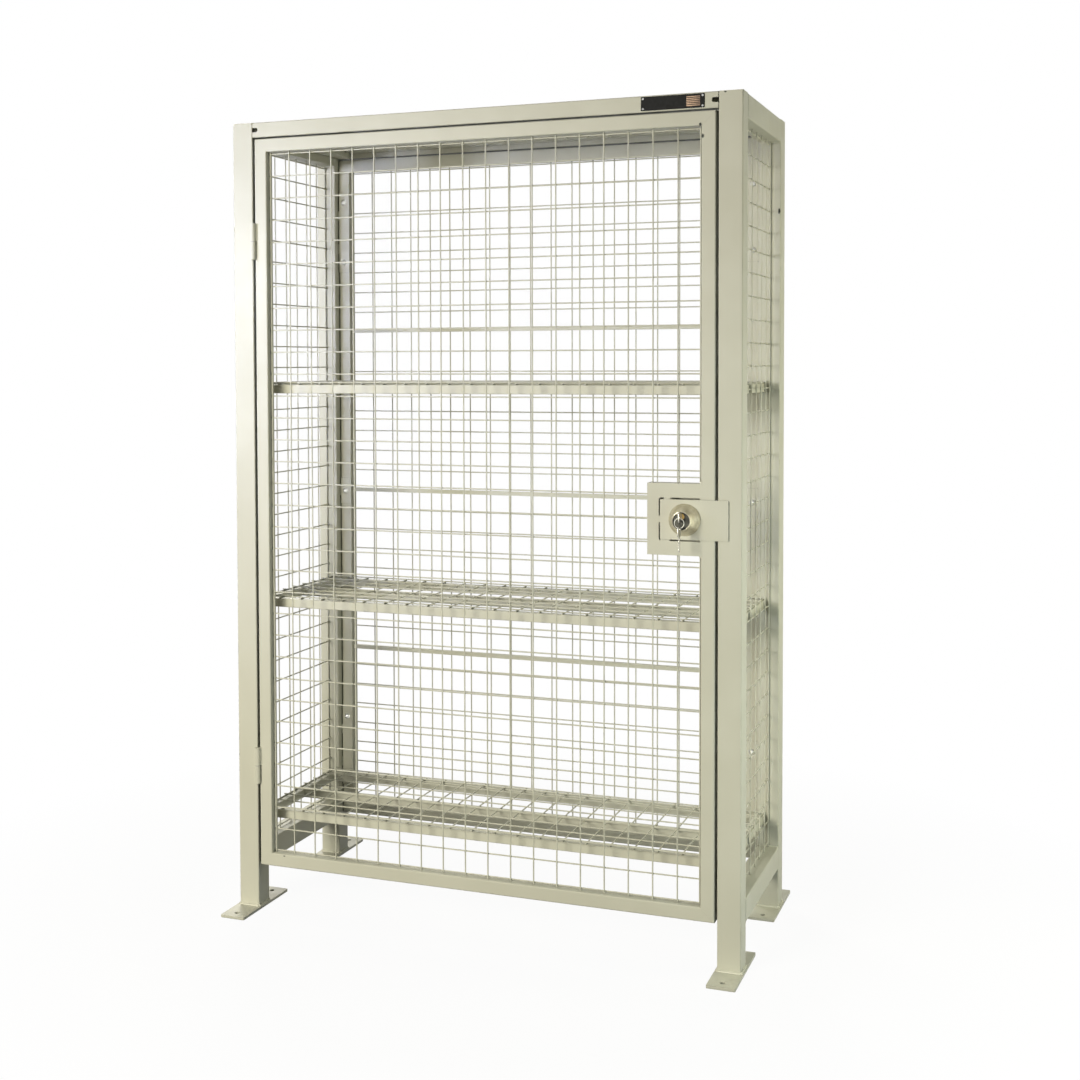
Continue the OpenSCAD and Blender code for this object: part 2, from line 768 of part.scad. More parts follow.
module screw_places()
    for (x = [box_x0 + screw_in, box_x0 + box_w - screw_in], z = [box_z0 + lip_w / 2, box_z1 - lip_w / 2])
        translate([x, door_back_y, z]) rotate([-90, 0, 0]) children();

module lock_cover() color(paint) difference() {
    translate([box_x0, door_back_y, box_z0]) cube([box_w, cover_t, box_h]);
    screw_places() cylinder(d = screw_hole_d, h = 3 * cover_t, center = true);
}

module lock_screws() color(steel) screw_places() {
    translate([0, 0, cover_t - screw_l]) cylinder(d = screw_d, h = screw_l);
    translate([0, 0, cover_t]) round_head(2 * screw_d, 0.6 * screw_d);
}

// Block that steers the deadbolt between the crank and the stile
module bolt_guide() color(steel) difference() {
    translate([door_in_x - guide_l, cylinder_y1, bolt_z - bolt_h / 2 - guide_rim])
        cube([guide_l, bolt_y + bolt_t / 2 + guide_back - cylinder_y1, bolt_h + 2 * guide_rim]);
    translate([door_in_x - guide_l - past, 0, 0]) bolt_window(guide_l + 2 * past);
}

module guard_plate() color(paint) difference() {
    translate([guard_x, guard_y + guard_t, lock_z]) rotate([90, 0, 0])
        linear_extrude(height = guard_t) rounded(guard_w, guard_h, guard_round);
    translate([lock_x, guard_y - past, lock_z]) rotate([-90, 0, 0])
        cylinder(d = cylinder_bore_d, h = guard_t + 2 * past);
}

// Turned cone collar. The cone runs tangent into the rolled front edge.
module lock_collar() {
    foot = [collar_d / 2, collar_foot];
    roll = [collar_front_d / 2 - collar_roll, collar_h - collar_roll];
    bore = cylinder_bore_d / 2;
    from_roll = foot - roll;
    turn = atan2(from_roll[1], from_roll[0]) + acos(collar_roll / norm(from_roll));
    color(steel) translate([lock_x, guard_y, lock_z]) rotate([90, 0, 0]) rotate_extrude() {
        polygon([[bore, 0], [foot[0], 0], foot, roll + collar_roll * [cos(turn), sin(turn)],
                 roll, [roll[0], collar_h], [bore, collar_h]]);
        translate(roll) circle(r = collar_roll);
    }
}

module lock_cylinder() color(dark_metal) difference() {
    translate([lock_x, cylinder_y1, lock_z]) rotate([90, 0, 0])
        cylinder(d = cylinder_d, h = cylinder_y1 - cylinder_y0);
    translate([lock_x, cylinder_y1 + past, plug_z]) rotate([90, 0, 0])
        cylinder(d = plug_d + 2 * plug_fit, h = cylinder_y1 - cylinder_y0 + 2 * past);
}

// Key plug with its keyway; the crank is fixed to its inner end
module lock_plug() color(brass) difference() {
    translate([lock_x, crank_y0, plug_z]) rotate([90, 0, 0])
        cylinder(d = plug_d, h = crank_y0 - cylinder_y0 + plug_out);
    translate([lock_x - key_slot_w / 2, cylinder_y0 - bow_gap, plug_z - key_slot_h / 2])
        cube([key_slot_w, blade_l + bow_gap + key_tip_gap, key_slot_h]);
}

// At rest the crank stands half its swing to the left of straight down
module crank() color(steel)
    translate([lock_x, crank_y0 + crank_t, plug_z]) rotate([90, 0, 0])
        rotate([0, 0, -90 - crank_swing]) {
            linear_extrude(height = crank_t) {
                circle(r = crank_hub_r);
                translate([0, -crank_arm_w / 2]) square([crank_r, crank_arm_w]);
                translate([crank_r, 0]) circle(d = crank_arm_w);
            }
            translate([crank_r, 0, crank_y0 + crank_t - bolt_y - bolt_t / 2 - crank_pin_past])
                cylinder(d = crank_pin_d,
                         h = bolt_y + bolt_t / 2 + crank_pin_past - crank_y0 - crank_t);
        }

// Deadbolt with a chamfered nose and the slot for the crank pin
module deadbolt() {
    h = bolt_h / 2;
    c = bolt_chamfer;
    pin_x = lock_x - throw_l / 2;
    w = crank_pin_d + 2 * pin_play;
    color(steel) difference() {
        translate([0, bolt_y + bolt_t / 2, bolt_z]) rotate([90, 0, 0]) linear_extrude(height = bolt_t)
            polygon([[bolt_x0, -h], [bolt_x1 - c, -h], [bolt_x1, -h + c],
                     [bolt_x1, h - c], [bolt_x1 - c, h], [bolt_x0, h]]);
        translate([pin_x - w / 2, bolt_y - bolt_t / 2 - past, slot_z0])
            cube([w, bolt_t + 2 * past, slot_z1 - slot_z0]);
    }
}

// Flat key in its own plane: bow hole at the origin, blade towards +X
module key_outline() {
    blade_x = bow_l - bow_end;
    tip_x = blade_x + bow_gap + blade_l - key_tip;
    difference() {
        union() {
            translate([bow_l / 2 - bow_end, 0]) rounded(bow_l, bow_w, bow_round);
            translate([blade_x - past, -blade_w / 2]) square([tip_x - blade_x + past, blade_w]);
            polygon([[tip_x - past, -blade_w / 2], [tip_x, -blade_w / 2], [tip_x + key_tip, -key_tip_w / 2],
                     [tip_x + key_tip, key_tip_w / 2], [tip_x, blade_w / 2], [tip_x - past, blade_w / 2]]);
        }
        circle(d = bow_hole_d);
        for (i = [0 : len(cut_sizes) - 1])
            translate([blade_x + bow_gap + (i + 1) * cut_pitch, -blade_w / 2])
                rotate(45) square(cut_sizes[i], center = true);
    }
}

module key() color(steel)
    translate([lock_x - key_t / 2, bow_hole_y, plug_z]) rotate([90, 0, 90])
        linear_extrude(height = key_t) key_outline();

module key_ring() color(steel)
    translate([lock_x, bow_hole_y, ring_z]) rotate([90, 0, 0])
        rotate_extrude() translate([ring_d / 2, 0]) circle(d = ring_wire);

module spare_key() color(steel)
    translate([lock_x - key_t / 2, bow_hole_y, spare_hole_z]) rotate([90, 90, 90])
        linear_extrude(height = key_t) key_outline();

module shelf_1_bars() shelf_bars(1);

module shelf_1_ends() shelf_ends(1);

module shelf_1_mesh() shelf_mesh(1);

module shelf_2_bars() shelf_bars(2);

module shelf_2_ends() shelf_ends(2);

module shelf_2_mesh() shelf_mesh(2);

module shelf_3_bars() shelf_bars(3);

module shelf_3_ends() shelf_ends(3);

module shelf_3_mesh() shelf_mesh(3);

post_front_left();
post_front_right();
post_rear_left();
post_rear_right();
post_caps();
foot_plates();
side_rail_top_left();
side_rail_top_right();
side_rail_bottom_left();
side_rail_bottom_right();
side_mesh_left();
side_mesh_right();
front_top_rail();
roof_rail_rear();
roof_rail_left();
roof_rail_right();
roof_mesh();
back_stile_left();
back_stile_right();
back_rail_top();
back_rail_bottom();
back_stiffeners();
back_mesh();
back_tabs();
back_bolts();
shelf_1_bars();
shelf_1_ends();
shelf_1_mesh();
shelf_2_bars();
shelf_2_ends();
shelf_2_mesh();
shelf_3_bars();
shelf_3_ends();
shelf_3_mesh();
nameplate();
nameplate_rivets();
post_hinge_halves();
hinge_washers();
door_stile_left();
door_stile_right();
door_rail_top();
door_rail_bottom();
door_mesh();
door_hinge_halves();
lock_box();
lock_cover();
lock_screws();
bolt_guide();
guard_plate();
lock_collar();
lock_cylinder();
lock_plug();
crank();
deadbolt();
key();
key_ring();
spare_key();
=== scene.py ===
"""Dress of an upright tool storage cage with one lockable mesh door.

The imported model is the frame. Its nodes keep their shape and place and get
their finishes here; welds, the nameplate panel and the keys are modelled
around them. Metres, +Z up, the door faces -Y.
"""

from __future__ import annotations

import json
import logging
import math
from dataclasses import dataclass, field
from enum import Enum
from itertools import pairwise, product
from typing import Callable

import bpy
from mathutils import Matrix, Vector


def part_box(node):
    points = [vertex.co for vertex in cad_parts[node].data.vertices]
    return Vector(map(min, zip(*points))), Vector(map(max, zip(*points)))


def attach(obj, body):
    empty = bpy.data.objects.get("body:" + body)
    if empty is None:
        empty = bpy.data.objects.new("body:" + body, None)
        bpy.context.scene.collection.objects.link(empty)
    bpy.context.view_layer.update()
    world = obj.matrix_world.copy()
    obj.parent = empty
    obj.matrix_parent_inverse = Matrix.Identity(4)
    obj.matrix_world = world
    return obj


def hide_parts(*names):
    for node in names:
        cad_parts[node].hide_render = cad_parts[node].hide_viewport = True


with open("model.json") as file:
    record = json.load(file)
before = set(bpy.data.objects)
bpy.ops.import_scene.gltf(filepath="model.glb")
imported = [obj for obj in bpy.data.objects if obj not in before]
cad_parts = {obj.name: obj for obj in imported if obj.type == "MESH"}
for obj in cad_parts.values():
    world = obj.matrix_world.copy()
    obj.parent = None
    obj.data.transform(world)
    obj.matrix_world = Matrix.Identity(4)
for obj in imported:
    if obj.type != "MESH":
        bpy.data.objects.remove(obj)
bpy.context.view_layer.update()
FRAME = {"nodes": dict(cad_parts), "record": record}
LOG = logging.getLogger("storage_cage")
MM = 0.001
# A face looks along an axis where its normal's share on that axis is over this.
FACING = 0.9

Triple = tuple[float, float, float]
Socket = bpy.types.NodeSocket


class Body(Enum):
    """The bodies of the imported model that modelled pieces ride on."""

    CAGE = "frame"
    DOOR = "door"
    KEY = "key"
    RING = "key_ring"


class Graph:
    """A material whose nodes are placed by name.

    Attributes:
        deep_gap: How open a point is, from 0 to 1, where its gap counts as deep.
        open_corner: How open it is where no painted shade is left.
        ragged_per_metre: Grains per metre along the edge of a spot.
        ragged_by: How far that edge frays, in half sizes of the spot.
        spot_edge: Where the spot starts to fade and where it ends, in half sizes.
    """

    deep_gap = 0.12
    open_corner = 0.62
    ragged_per_metre = 900.0
    ragged_by = 0.35
    spot_edge = (0.8, 1.05)

    def __init__(self, name: str) -> None:
        """Starts an empty material with a Principled shader.

        Args:
            name: The material's name.
        """
        self.material = bpy.data.materials.new(name)
        self.material.use_nodes = True
        self.nodes = self.material.node_tree.nodes
        self.links = self.material.node_tree.links
        self.shader = self.nodes["Principled BSDF"]
        self.coords = self.add("ShaderNodeTexCoord").outputs["Object"]

    def add(self, kind: str, **settings: object) -> bpy.types.Node:
        """Adds a node.

        Args:
            kind: The node's type name.
            **settings: Properties to set on it.

        Returns:
            The new node.
        """
        node = self.nodes.new(kind)
        for key, value in settings.items():
            setattr(node, key, value)
        return node

    def noise(self, scale: float, detail: float = 2.0, source: Socket | None = None) -> Socket:
        """Adds a noise texture.

        Args:
            scale: Grains per metre.
            detail: Octaves.
            source: The coordinates, or None for the object's own.

        Returns:
            The noise value's socket.
        """
        node = self.add("ShaderNodeTexNoise")
        node.inputs["Scale"].default_value = scale
        node.inputs["Detail"].default_value = detail
        self.links.new(source or self.coords, node.inputs["Vector"])
        return node.outputs["Fac"]

    def stretched(self, factors: Triple) -> Socket:
        """Object coordinates scaled along each axis.

        Args:
            factors: The scale along X, Y and Z.

        Returns:
            The scaled coordinates' socket.
        """
        node = self.add("ShaderNodeMapping")
        node.inputs["Scale"].default_value = factors
        self.links.new(self.coords, node.inputs["Vector"])
        return node.outputs["Vector"]

    def ranged(self, value: Socket, low: float, high: float, start: float = 0.3,
               end: float = 0.7) -> Socket:
        """Maps a value on to a range.

        Args:
            value: The socket to map.
            low: The result at start.
            high: The result at end.
            start: The value that gives low.
            end: The value that gives high.

        Returns:
            The mapped socket.
        """
        node = self.add("ShaderNodeMapRange")
        node.inputs["From Min"].default_value = start
        node.inputs["From Max"].default_value = end
        node.inputs["To Min"].default_value = low
        node.inputs["To Max"].default_value = high
        self.links.new(value, node.inputs["Value"])
        return node.outputs["Result"]

    def blend(self, factor: Socket, first: Triple | Socket, second: Triple | Socket) -> Socket:
        """Mixes two colours.

        Args:
            factor: The socket that is 0 for the first and 1 for the second.
            first: A linear RGB colour, or a socket.
            second: A linear RGB colour, or a socket.

        Returns:
            The mixed colour's socket.
        """
        node = self.add("ShaderNodeMix", data_type="RGBA")
        self.links.new(factor, node.inputs["Factor"])
        for name, colour in (("A", first), ("B", second)):
            socket = next(s for s in node.inputs if s.name == name and s.type == "RGBA")
            if isinstance(colour, tuple):
                socket.default_value = (*colour, 1.0)
            else:
                self.links.new(colour, socket)
        return next(s for s in node.outputs if s.type == "RGBA")

    def bump(self, height: Socket, depth: float, strength: float) -> Socket:
        """Adds a bump.

        Args:
            height: The socket that gives the height.
            depth: The full height in metres.
            strength: How much of it is used.

        Returns:
            The normal's socket.
        """
        node = self.add("ShaderNodeBump")
        node.inputs["Distance"].default_value = depth
        node.inputs["Strength"].default_value = strength
        self.links.new(height, node.inputs["Height"])
        return node.outputs["Normal"]

    def crevice(self, reach: float, samples: int = 6) -> Socket:
        """How deep a point lies in a gap or an inner corner.

        Args:
            reach: How far around the point is looked at, in metres.
            samples: Rays for each point.

        Returns:
            A socket that is 0 in the open and 1 deep in a gap.
        """
        node = self.add("ShaderNodeAmbientOcclusion", samples=samples, only_local=False)
        node.inputs["Distance"].default_value = reach
        return self.ranged(node.outputs["AO"], 1.0, 0.0, self.deep_gap, self.open_corner)

    def spot(self, place: Triple, half: Triple) -> Socket:
        """A ragged spot at a place.

        Args:
            place: The middle of the spot.
            half: Its half size along each axis.

        Returns:
            A socket that is 1 on the spot and 0 away from it.
        """
        away = self.add("ShaderNodeVectorMath", operation="SUBTRACT")
        away.inputs[1].default_value = place
        self.links.new(self.coords, away.inputs[0])
        scaled = self.add("ShaderNodeVectorMath", operation="DIVIDE")
        scaled.inputs[1].default_value = half
        self.links.new(away.outputs["Vector"], scaled.inputs[0])
        length = self.add("ShaderNodeVectorMath", operation="LENGTH")
        self.links.new(scaled.outputs["Vector"], length.inputs[0])
        ragged = self.add("ShaderNodeMath", operation="ADD")
        self.links.new(length.outputs["Value"], ragged.inputs[0])
        fray = self.ranged(self.noise(self.ragged_per_metre), -self.ragged_by, self.ragged_by)
        self.links.new(fray, ragged.inputs[1])
        return self.ranged(ragged.outputs["Value"], 1.0, 0.0, *self.spot_edge)

    def into(self, source: Socket, name: str) -> None:
        """Links a socket to the shader.

        Args:
            source: The socket to link.
            name: The shader's input.
        """
        self.links.new(source, self.shader.inputs[name])


@dataclass(frozen=True)
class Mark:
    """A small dark chip in the coat: its place and its half sizes in metres."""

    place: Triple
    half: Triple


@dataclass(frozen=True)
class PowderCoat:
    """Baked powder coat over welded steel: orange peel, cloudy tone, and painted shade that darkens its
    gaps and inner corners.
    """

    name: str = "powder_coat"
    light: Triple = (0.642, 0.636, 0.560)
    dark: Triple = (0.592, 0.584, 0.504)
    # Painted shade: the tone that gaps and inner corners are darkened towards.
    crevice_shade: Triple = (0.085, 0.100, 0.078)
    crevice_shade_reach: float = 0.011
    bare: Triple = (0.025, 0.028, 0.024)
    roughness: tuple[float, float] = (0.42, 0.54)
    specular: float = 0.25
    octaves: float = 3.0
    cloud_per_metre: float = 5.0
    sheen_per_metre: float = 26.0
    peel_per_metre: float = 620.0
    peel_depth: float = 0.25 * MM
    peel_strength: float = 0.22
    marks: tuple[Mark, ...] = (
        Mark((0.5000, -0.2325, 1.7450), (0.0030, 0.006, 0.0034)),
        Mark((0.5045, -0.2325, 1.7215), (0.0034, 0.006, 0.0040)),
        Mark((0.5510, -0.2325, 1.8075), (0.0028, 0.004, 0.0016)),
        Mark((0.5840, 0.1825, 1.6035), (0.0026, 0.004, 0.0070)),
        Mark((-0.4700, -0.2325, 0.1310), (0.0030, 0.004, 0.0012)),
    )

    def material(self) -> bpy.types.Material:
        """Builds the material.

        Returns:
            The coat.
        """
        g = Graph(self.name)
        clouds = g.ranged(g.noise(self.cloud_per_metre, self.octaves), 0.0, 1.0)
        tone = g.blend(clouds, self.light, self.dark)
        # Painted shade: the coat turns towards the dark tone where it lies deep in a gap or an inner
        # corner.
        tone = g.blend(g.crevice(self.crevice_shade_reach), tone, self.crevice_shade)
        for mark in self.marks:
            tone = g.blend(g.spot(mark.place, mark.half), tone, self.bare)
        g.into(tone, "Base Color")
        g.into(g.ranged(g.noise(self.sheen_per_metre, self.octaves), *self.roughness), "Roughness")
        g.into(g.bump(g.noise(self.peel_per_metre), self.peel_depth, self.peel_strength), "Normal")
        g.shader.inputs["Specular IOR Level"].default_value = self.specular
        return g.material


@dataclass(frozen=True)
class BareMetal:
    """Bare or plated metal with fine streaks along one axis."""

    name: str
    light: Triple
    dark: Triple
    roughness: tuple[float, float] = (0.22, 0.36)
    streaks: Triple = (1.0, 1.0, 1.0)
    grain_per_metre: float = 900.0
    grain_depth: float = 0.1 * MM
    grain_strength: float = 0.18
    mottle_per_metre: float = 160.0
    octaves: float = 3.0
    metallic: float = 1.0
    specular: float = 0.5

    def material(self) -> bpy.types.Material:
        """Builds the material.

        Returns:
            The metal.
        """
        g = Graph(self.name)
        grain = g.noise(self.grain_per_metre, self.octaves, g.stretched(self.streaks))
        mottle = g.ranged(g.noise(self.mottle_per_metre, self.octaves), 0.0, 1.0)
        g.into(g.blend(mottle, self.light, self.dark), "Base Color")
        g.into(g.ranged(grain, *self.roughness), "Roughness")
        g.into(g.bump(grain, self.grain_depth, self.grain_strength), "Normal")
        g.shader.inputs["Metallic"].default_value = self.metallic
        g.shader.inputs["Specular IOR Level"].default_value = self.specular
        return g.material


@dataclass(frozen=True)
class SpunSteel:
    """Turned bare steel: fine rings about an axis along Y, and painted shade, near black, inside a
    radius where the bore opens.
    """

    name: str
    axis: Triple
    bore_shade_radius: float
    light: Triple = (0.62, 0.58, 0.45)
    dark: Triple = (0.42, 0.385, 0.28)
    # Painted shade: the near-black tone that stands in for the shade inside the collar's bore and on its
    # inner rim.
    bore_shade: Triple = (0.045, 0.045, 0.040)
    bore_shade_blur: float = 0.2 * MM
    roughness: tuple[float, float] = (0.22, 0.32)
    rings_per_metre: float = 2600.0
    ring_depth: float = 0.06 * MM
    ring_strength: float = 0.25
    mottle_per_metre: float = 70.0
    octaves: float = 3.0
    anisotropy: float = 0.92

    def material(self) -> bpy.types.Material:
        """Builds the material.

        Returns:
            The turned steel.
        """
        g = Graph(self.name)
        away = g.add("ShaderNodeVectorMath", operation="SUBTRACT")
        away.inputs[1].default_value = self.axis
        g.links.new(g.coords, away.inputs[0])
        flat = g.add("ShaderNodeVectorMath", operation="MULTIPLY")
        flat.inputs[1].default_value = (1.0, 0.0, 1.0)
        g.links.new(away.outputs["Vector"], flat.inputs[0])
        radius = g.add("ShaderNodeVectorMath", operation="LENGTH")
        g.links.new(flat.outputs["Vector"], radius.inputs[0])
        outward = g.add("ShaderNodeVectorMath", operation="NORMALIZE")
        g.links.new(flat.outputs["Vector"], outward.inputs[0])
        rings = g.add("ShaderNodeTexNoise", noise_dimensions="1D")
        rings.inputs["Scale"].default_value = self.rings_per_metre
        g.links.new(radius.outputs["Value"], rings.inputs["W"])
        mottle = g.ranged(g.noise(self.mottle_per_metre, self.octaves), 0.0, 1.0)
        tone = g.blend(mottle, self.light, self.dark)
        # Painted shade: inside the radius the turned steel goes near black, where the bore lies in
        # shade.
        shade_from, shade_to = self.bore_shade_radius - self.bore_shade_blur, self.bore_shade_radius + self.bore_shade_blur
        inside = g.ranged(radius.outputs["Value"], 1.0, 0.0, shade_from, shade_to)
        g.into(g.blend(inside, tone, self.bore_shade), "Base Color")
        g.into(g.ranged(rings.outputs["Fac"], *self.roughness), "Roughness")
        g.into(g.bump(rings.outputs["Fac"], self.ring_depth, self.ring_strength), "Normal")
        g.into(outward.outputs["Vector"], "Tangent")
        g.shader.inputs["Metallic"].default_value = 1.0
        g.shader.inputs["Anisotropic"].default_value = self.anisotropy
        return g.material


@dataclass(frozen=True)
class StudioCamera:
    """The camera at the photograph's place, solved on a square image."""

    position: Triple = (1.2303, -3.3284, 1.2612)
    yaw: float = 21.401
    pitch: float = 2.197
    roll: float = -0.209
    focal_px: float = 1541.03
    centre_px: tuple[float, float] = (480.0, 422.64)
    image_px: float = 1080.0
    sensor_mm: float = 36.0
    clip: tuple[float, float] = (0.05, 60.0)

    def build(self) -> None:
        """Adds the camera."""
        turn = Matrix.Rotation(math.radians(-self.yaw), 3, "Z")
        ahead = Matrix(((1, 0, 0), (0, 0, -1), (0, 1, 0)))
        tilt = Matrix.Rotation(math.radians(self.pitch), 3, "X")
        twist = Matrix.Rotation(math.radians(self.roll), 3, "Z")
        right, down, forward = twist @ tilt @ ahead @ turn
        data = bpy.data.cameras.new("photo_camera")
        data.sensor_width = self.sensor_mm
        data.lens = self.focal_px * data.sensor_width / self.image_px
        data.shift_x = (self.image_px / 2 - self.centre_px[0]) / self.image_px
        data.shift_y = (self.centre_px[1] - self.image_px / 2) / self.image_px
        data.clip_start, data.clip_end = self.clip
        camera = bpy.data.objects.new("photo_camera", data)
        axes = Matrix((right, -down, -forward)).transposed()
        camera.matrix_world = Matrix.Translation(self.position) @ axes.to_4x4()
        bpy.context.scene.collection.objects.link(camera)
        bpy.context.scene.camera = camera


@dataclass(frozen=True)
class Lamp:
    """A soft box: square, or taller where a height is given, its light gathered into an angle."""

    name: str
    place: Triple
    target: Triple
    size: float
    watts: float
    colour: Triple = (1.0, 1.0, 1.0)
    height: float = 0.0
    spread: float = 180.0

    def build(self) -> None:
        """Adds the lamp."""
        data = bpy.data.lights.new(self.name, "AREA")
        data.shape = "RECTANGLE"
        data.size = self.size
        data.size_y = self.height or self.size
        data.energy = self.watts
        data.color = self.colour
        data.spread = math.radians(self.spread)
        lamp = bpy.data.objects.new(self.name, data)
        lamp.location = self.place
        aim = Vector(self.target) - Vector(self.place)
        lamp.rotation_euler = aim.to_track_quat("-Z", "Y").to_euler()
        bpy.context.scene.collection.objects.link(lamp)


@dataclass
class Studio:
    """White floor, white surroundings and soft lamps."""

    surround: float = 0.01
    floor_size: float = 60.0
    floor_tone: float = 0.93
    floor_bounce: float = 0.12
    glow_share: float = 0.94
    shadow_reach: tuple[float, float] = (0.8, 1.6)
    lamps: tuple[Lamp, ...] = (
        Lamp("key_lamp", (-1.9, -2.0, 1.5), (-0.66, -0.25, 1.42), 0.3, 3.2, (0.70, 0.74, 1.0),
             spread=48.0),
        Lamp("front_lamp", (-1.3, -4.0, 1.6), (0.15, 0.0, -2.55), 1.6, 177.0, (1.0, 0.96, 0.785)),
        Lamp("right_lamp", (1.5, 0.15, 0.95), (0.56, 0.0, 0.9), 0.5, 8.2, (1.0, 0.97, 0.64),
             height=2.0),
        Lamp("right_low_lamp", (1.3, -0.5, 0.6), (0.56, 0.0, 0.5), 0.4, 3.5, (0.86, 1.0, 0.95),
             height=1.2),
        Lamp("back_lamp", (-2.4, 3.2, 2.6), (0.0, 0.1, 0.9), 1.4, 92.0, (1.0, 0.97, 0.86)),
        Lamp("top_lamp", (0.0, 0.6, 3.6), (0.0, 0.0, 1.0), 2.0, 6.0),
    )

    def build(self) -> None:
        """Sets the world and adds the floor and the lamps."""
        scene = bpy.context.scene
        scene.view_settings.view_transform = "Standard"
        self._world()
        self._floor()
        for lamp in self.lamps:
            lamp.build()
        LOG.info("studio built with %d lamps", len(self.lamps))

    def _seen(self, nodes: bpy.types.Nodes, links: bpy.types.NodeLinks) -> Socket:
        """A value that is 1 for rays from the camera or off gloss.

        Args:
            nodes: The tree's nodes.
            links: The tree's links.

        Returns:
            The value's socket.
        """
        path = nodes.new("ShaderNodeLightPath")
        total = path.outputs["Is Camera Ray"]
        for name in ("Is Glossy Ray", "Is Transmission Ray"):
            most = nodes.new("ShaderNodeMath")
            most.operation = "MAXIMUM"
            links.new(total, most.inputs[0])
            links.new(path.outputs[name], most.inputs[1])
            total = most.outputs[0]
        return total

    def _world(self) -> None:
        """White where it is seen, and a softer level where it lights."""
        world = bpy.data.worlds.new("white_surround")
        world.use_nodes = True
        nodes, links = world.node_tree.nodes, world.node_tree.links
        level = nodes.new("ShaderNodeMapRange")
        level.inputs["To Min"].default_value = self.surround
        level.inputs["To Max"].default_value = 1.0
        links.new(self._seen(nodes, links), level.inputs["Value"])
        links.new(level.outputs["Result"], nodes["Background"].inputs["Strength"])
        nodes["Background"].inputs["Color"].default_value = (1.0, 1.0, 1.0, 1.0)
        bpy.context.scene.world = world

    def _floor(self) -> None:
        """A pale floor that melts into the white and keeps a faint shadow."""
        bpy.ops.mesh.primitive_plane_add(size=self.floor_size, location=(0, 0, 0))
        floor = bpy.context.object
        floor.name = "studio_floor"
        material = bpy.data.materials.new("studio_floor")
        material.use_nodes = True
        nodes, links = material.node_tree.nodes, material.node_tree.links
        nodes.remove(nodes["Principled BSDF"])
        seen = self._seen(nodes, links)
        tone = nodes.new("ShaderNodeMapRange")
        tone.inputs["To Min"].default_value = self.floor_bounce
        tone.inputs["To Max"].default_value = self.floor_tone
        links.new(seen, tone.inputs["Value"])
        matt = nodes.new("ShaderNodeBsdfDiffuse")
        links.new(tone.outputs["Result"], matt.inputs["Color"])
        glow = nodes.new("ShaderNodeEmission")
        glow.inputs["Color"].default_value = (1.0, 1.0, 1.0, 1.0)
        length = nodes.new("ShaderNodeVectorMath")
        length.operation = "LENGTH"
        links.new(nodes.new("ShaderNodeTexCoord").outputs["Object"], length.inputs[0])
        fade = nodes.new("ShaderNodeMapRange")
        fade.inputs["From Min"].default_value = self.shadow_reach[0]
        fade.inputs["From Max"].default_value = self.shadow_reach[1]
        fade.inputs["To Min"].default_value = self.glow_share
        fade.inputs["To Max"].default_value = 1.0
        links.new(length.outputs["Value"], fade.inputs["Value"])
        share = nodes.new("ShaderNodeMath")
        share.operation = "MULTIPLY"
        links.new(fade.outputs["Result"], share.inputs[0])
        links.new(seen, share.inputs[1])
        mix = nodes.new("ShaderNodeMixShader")
        links.new(share.outputs[0], mix.inputs["Fac"])
        links.new(matt.outputs[0], mix.inputs[1])
        links.new(glow.outputs[0], mix.inputs[2])
        links.new(mix.outputs[0], nodes["Material Output"].inputs["Surface"])
        floor.data.materials.append(material)


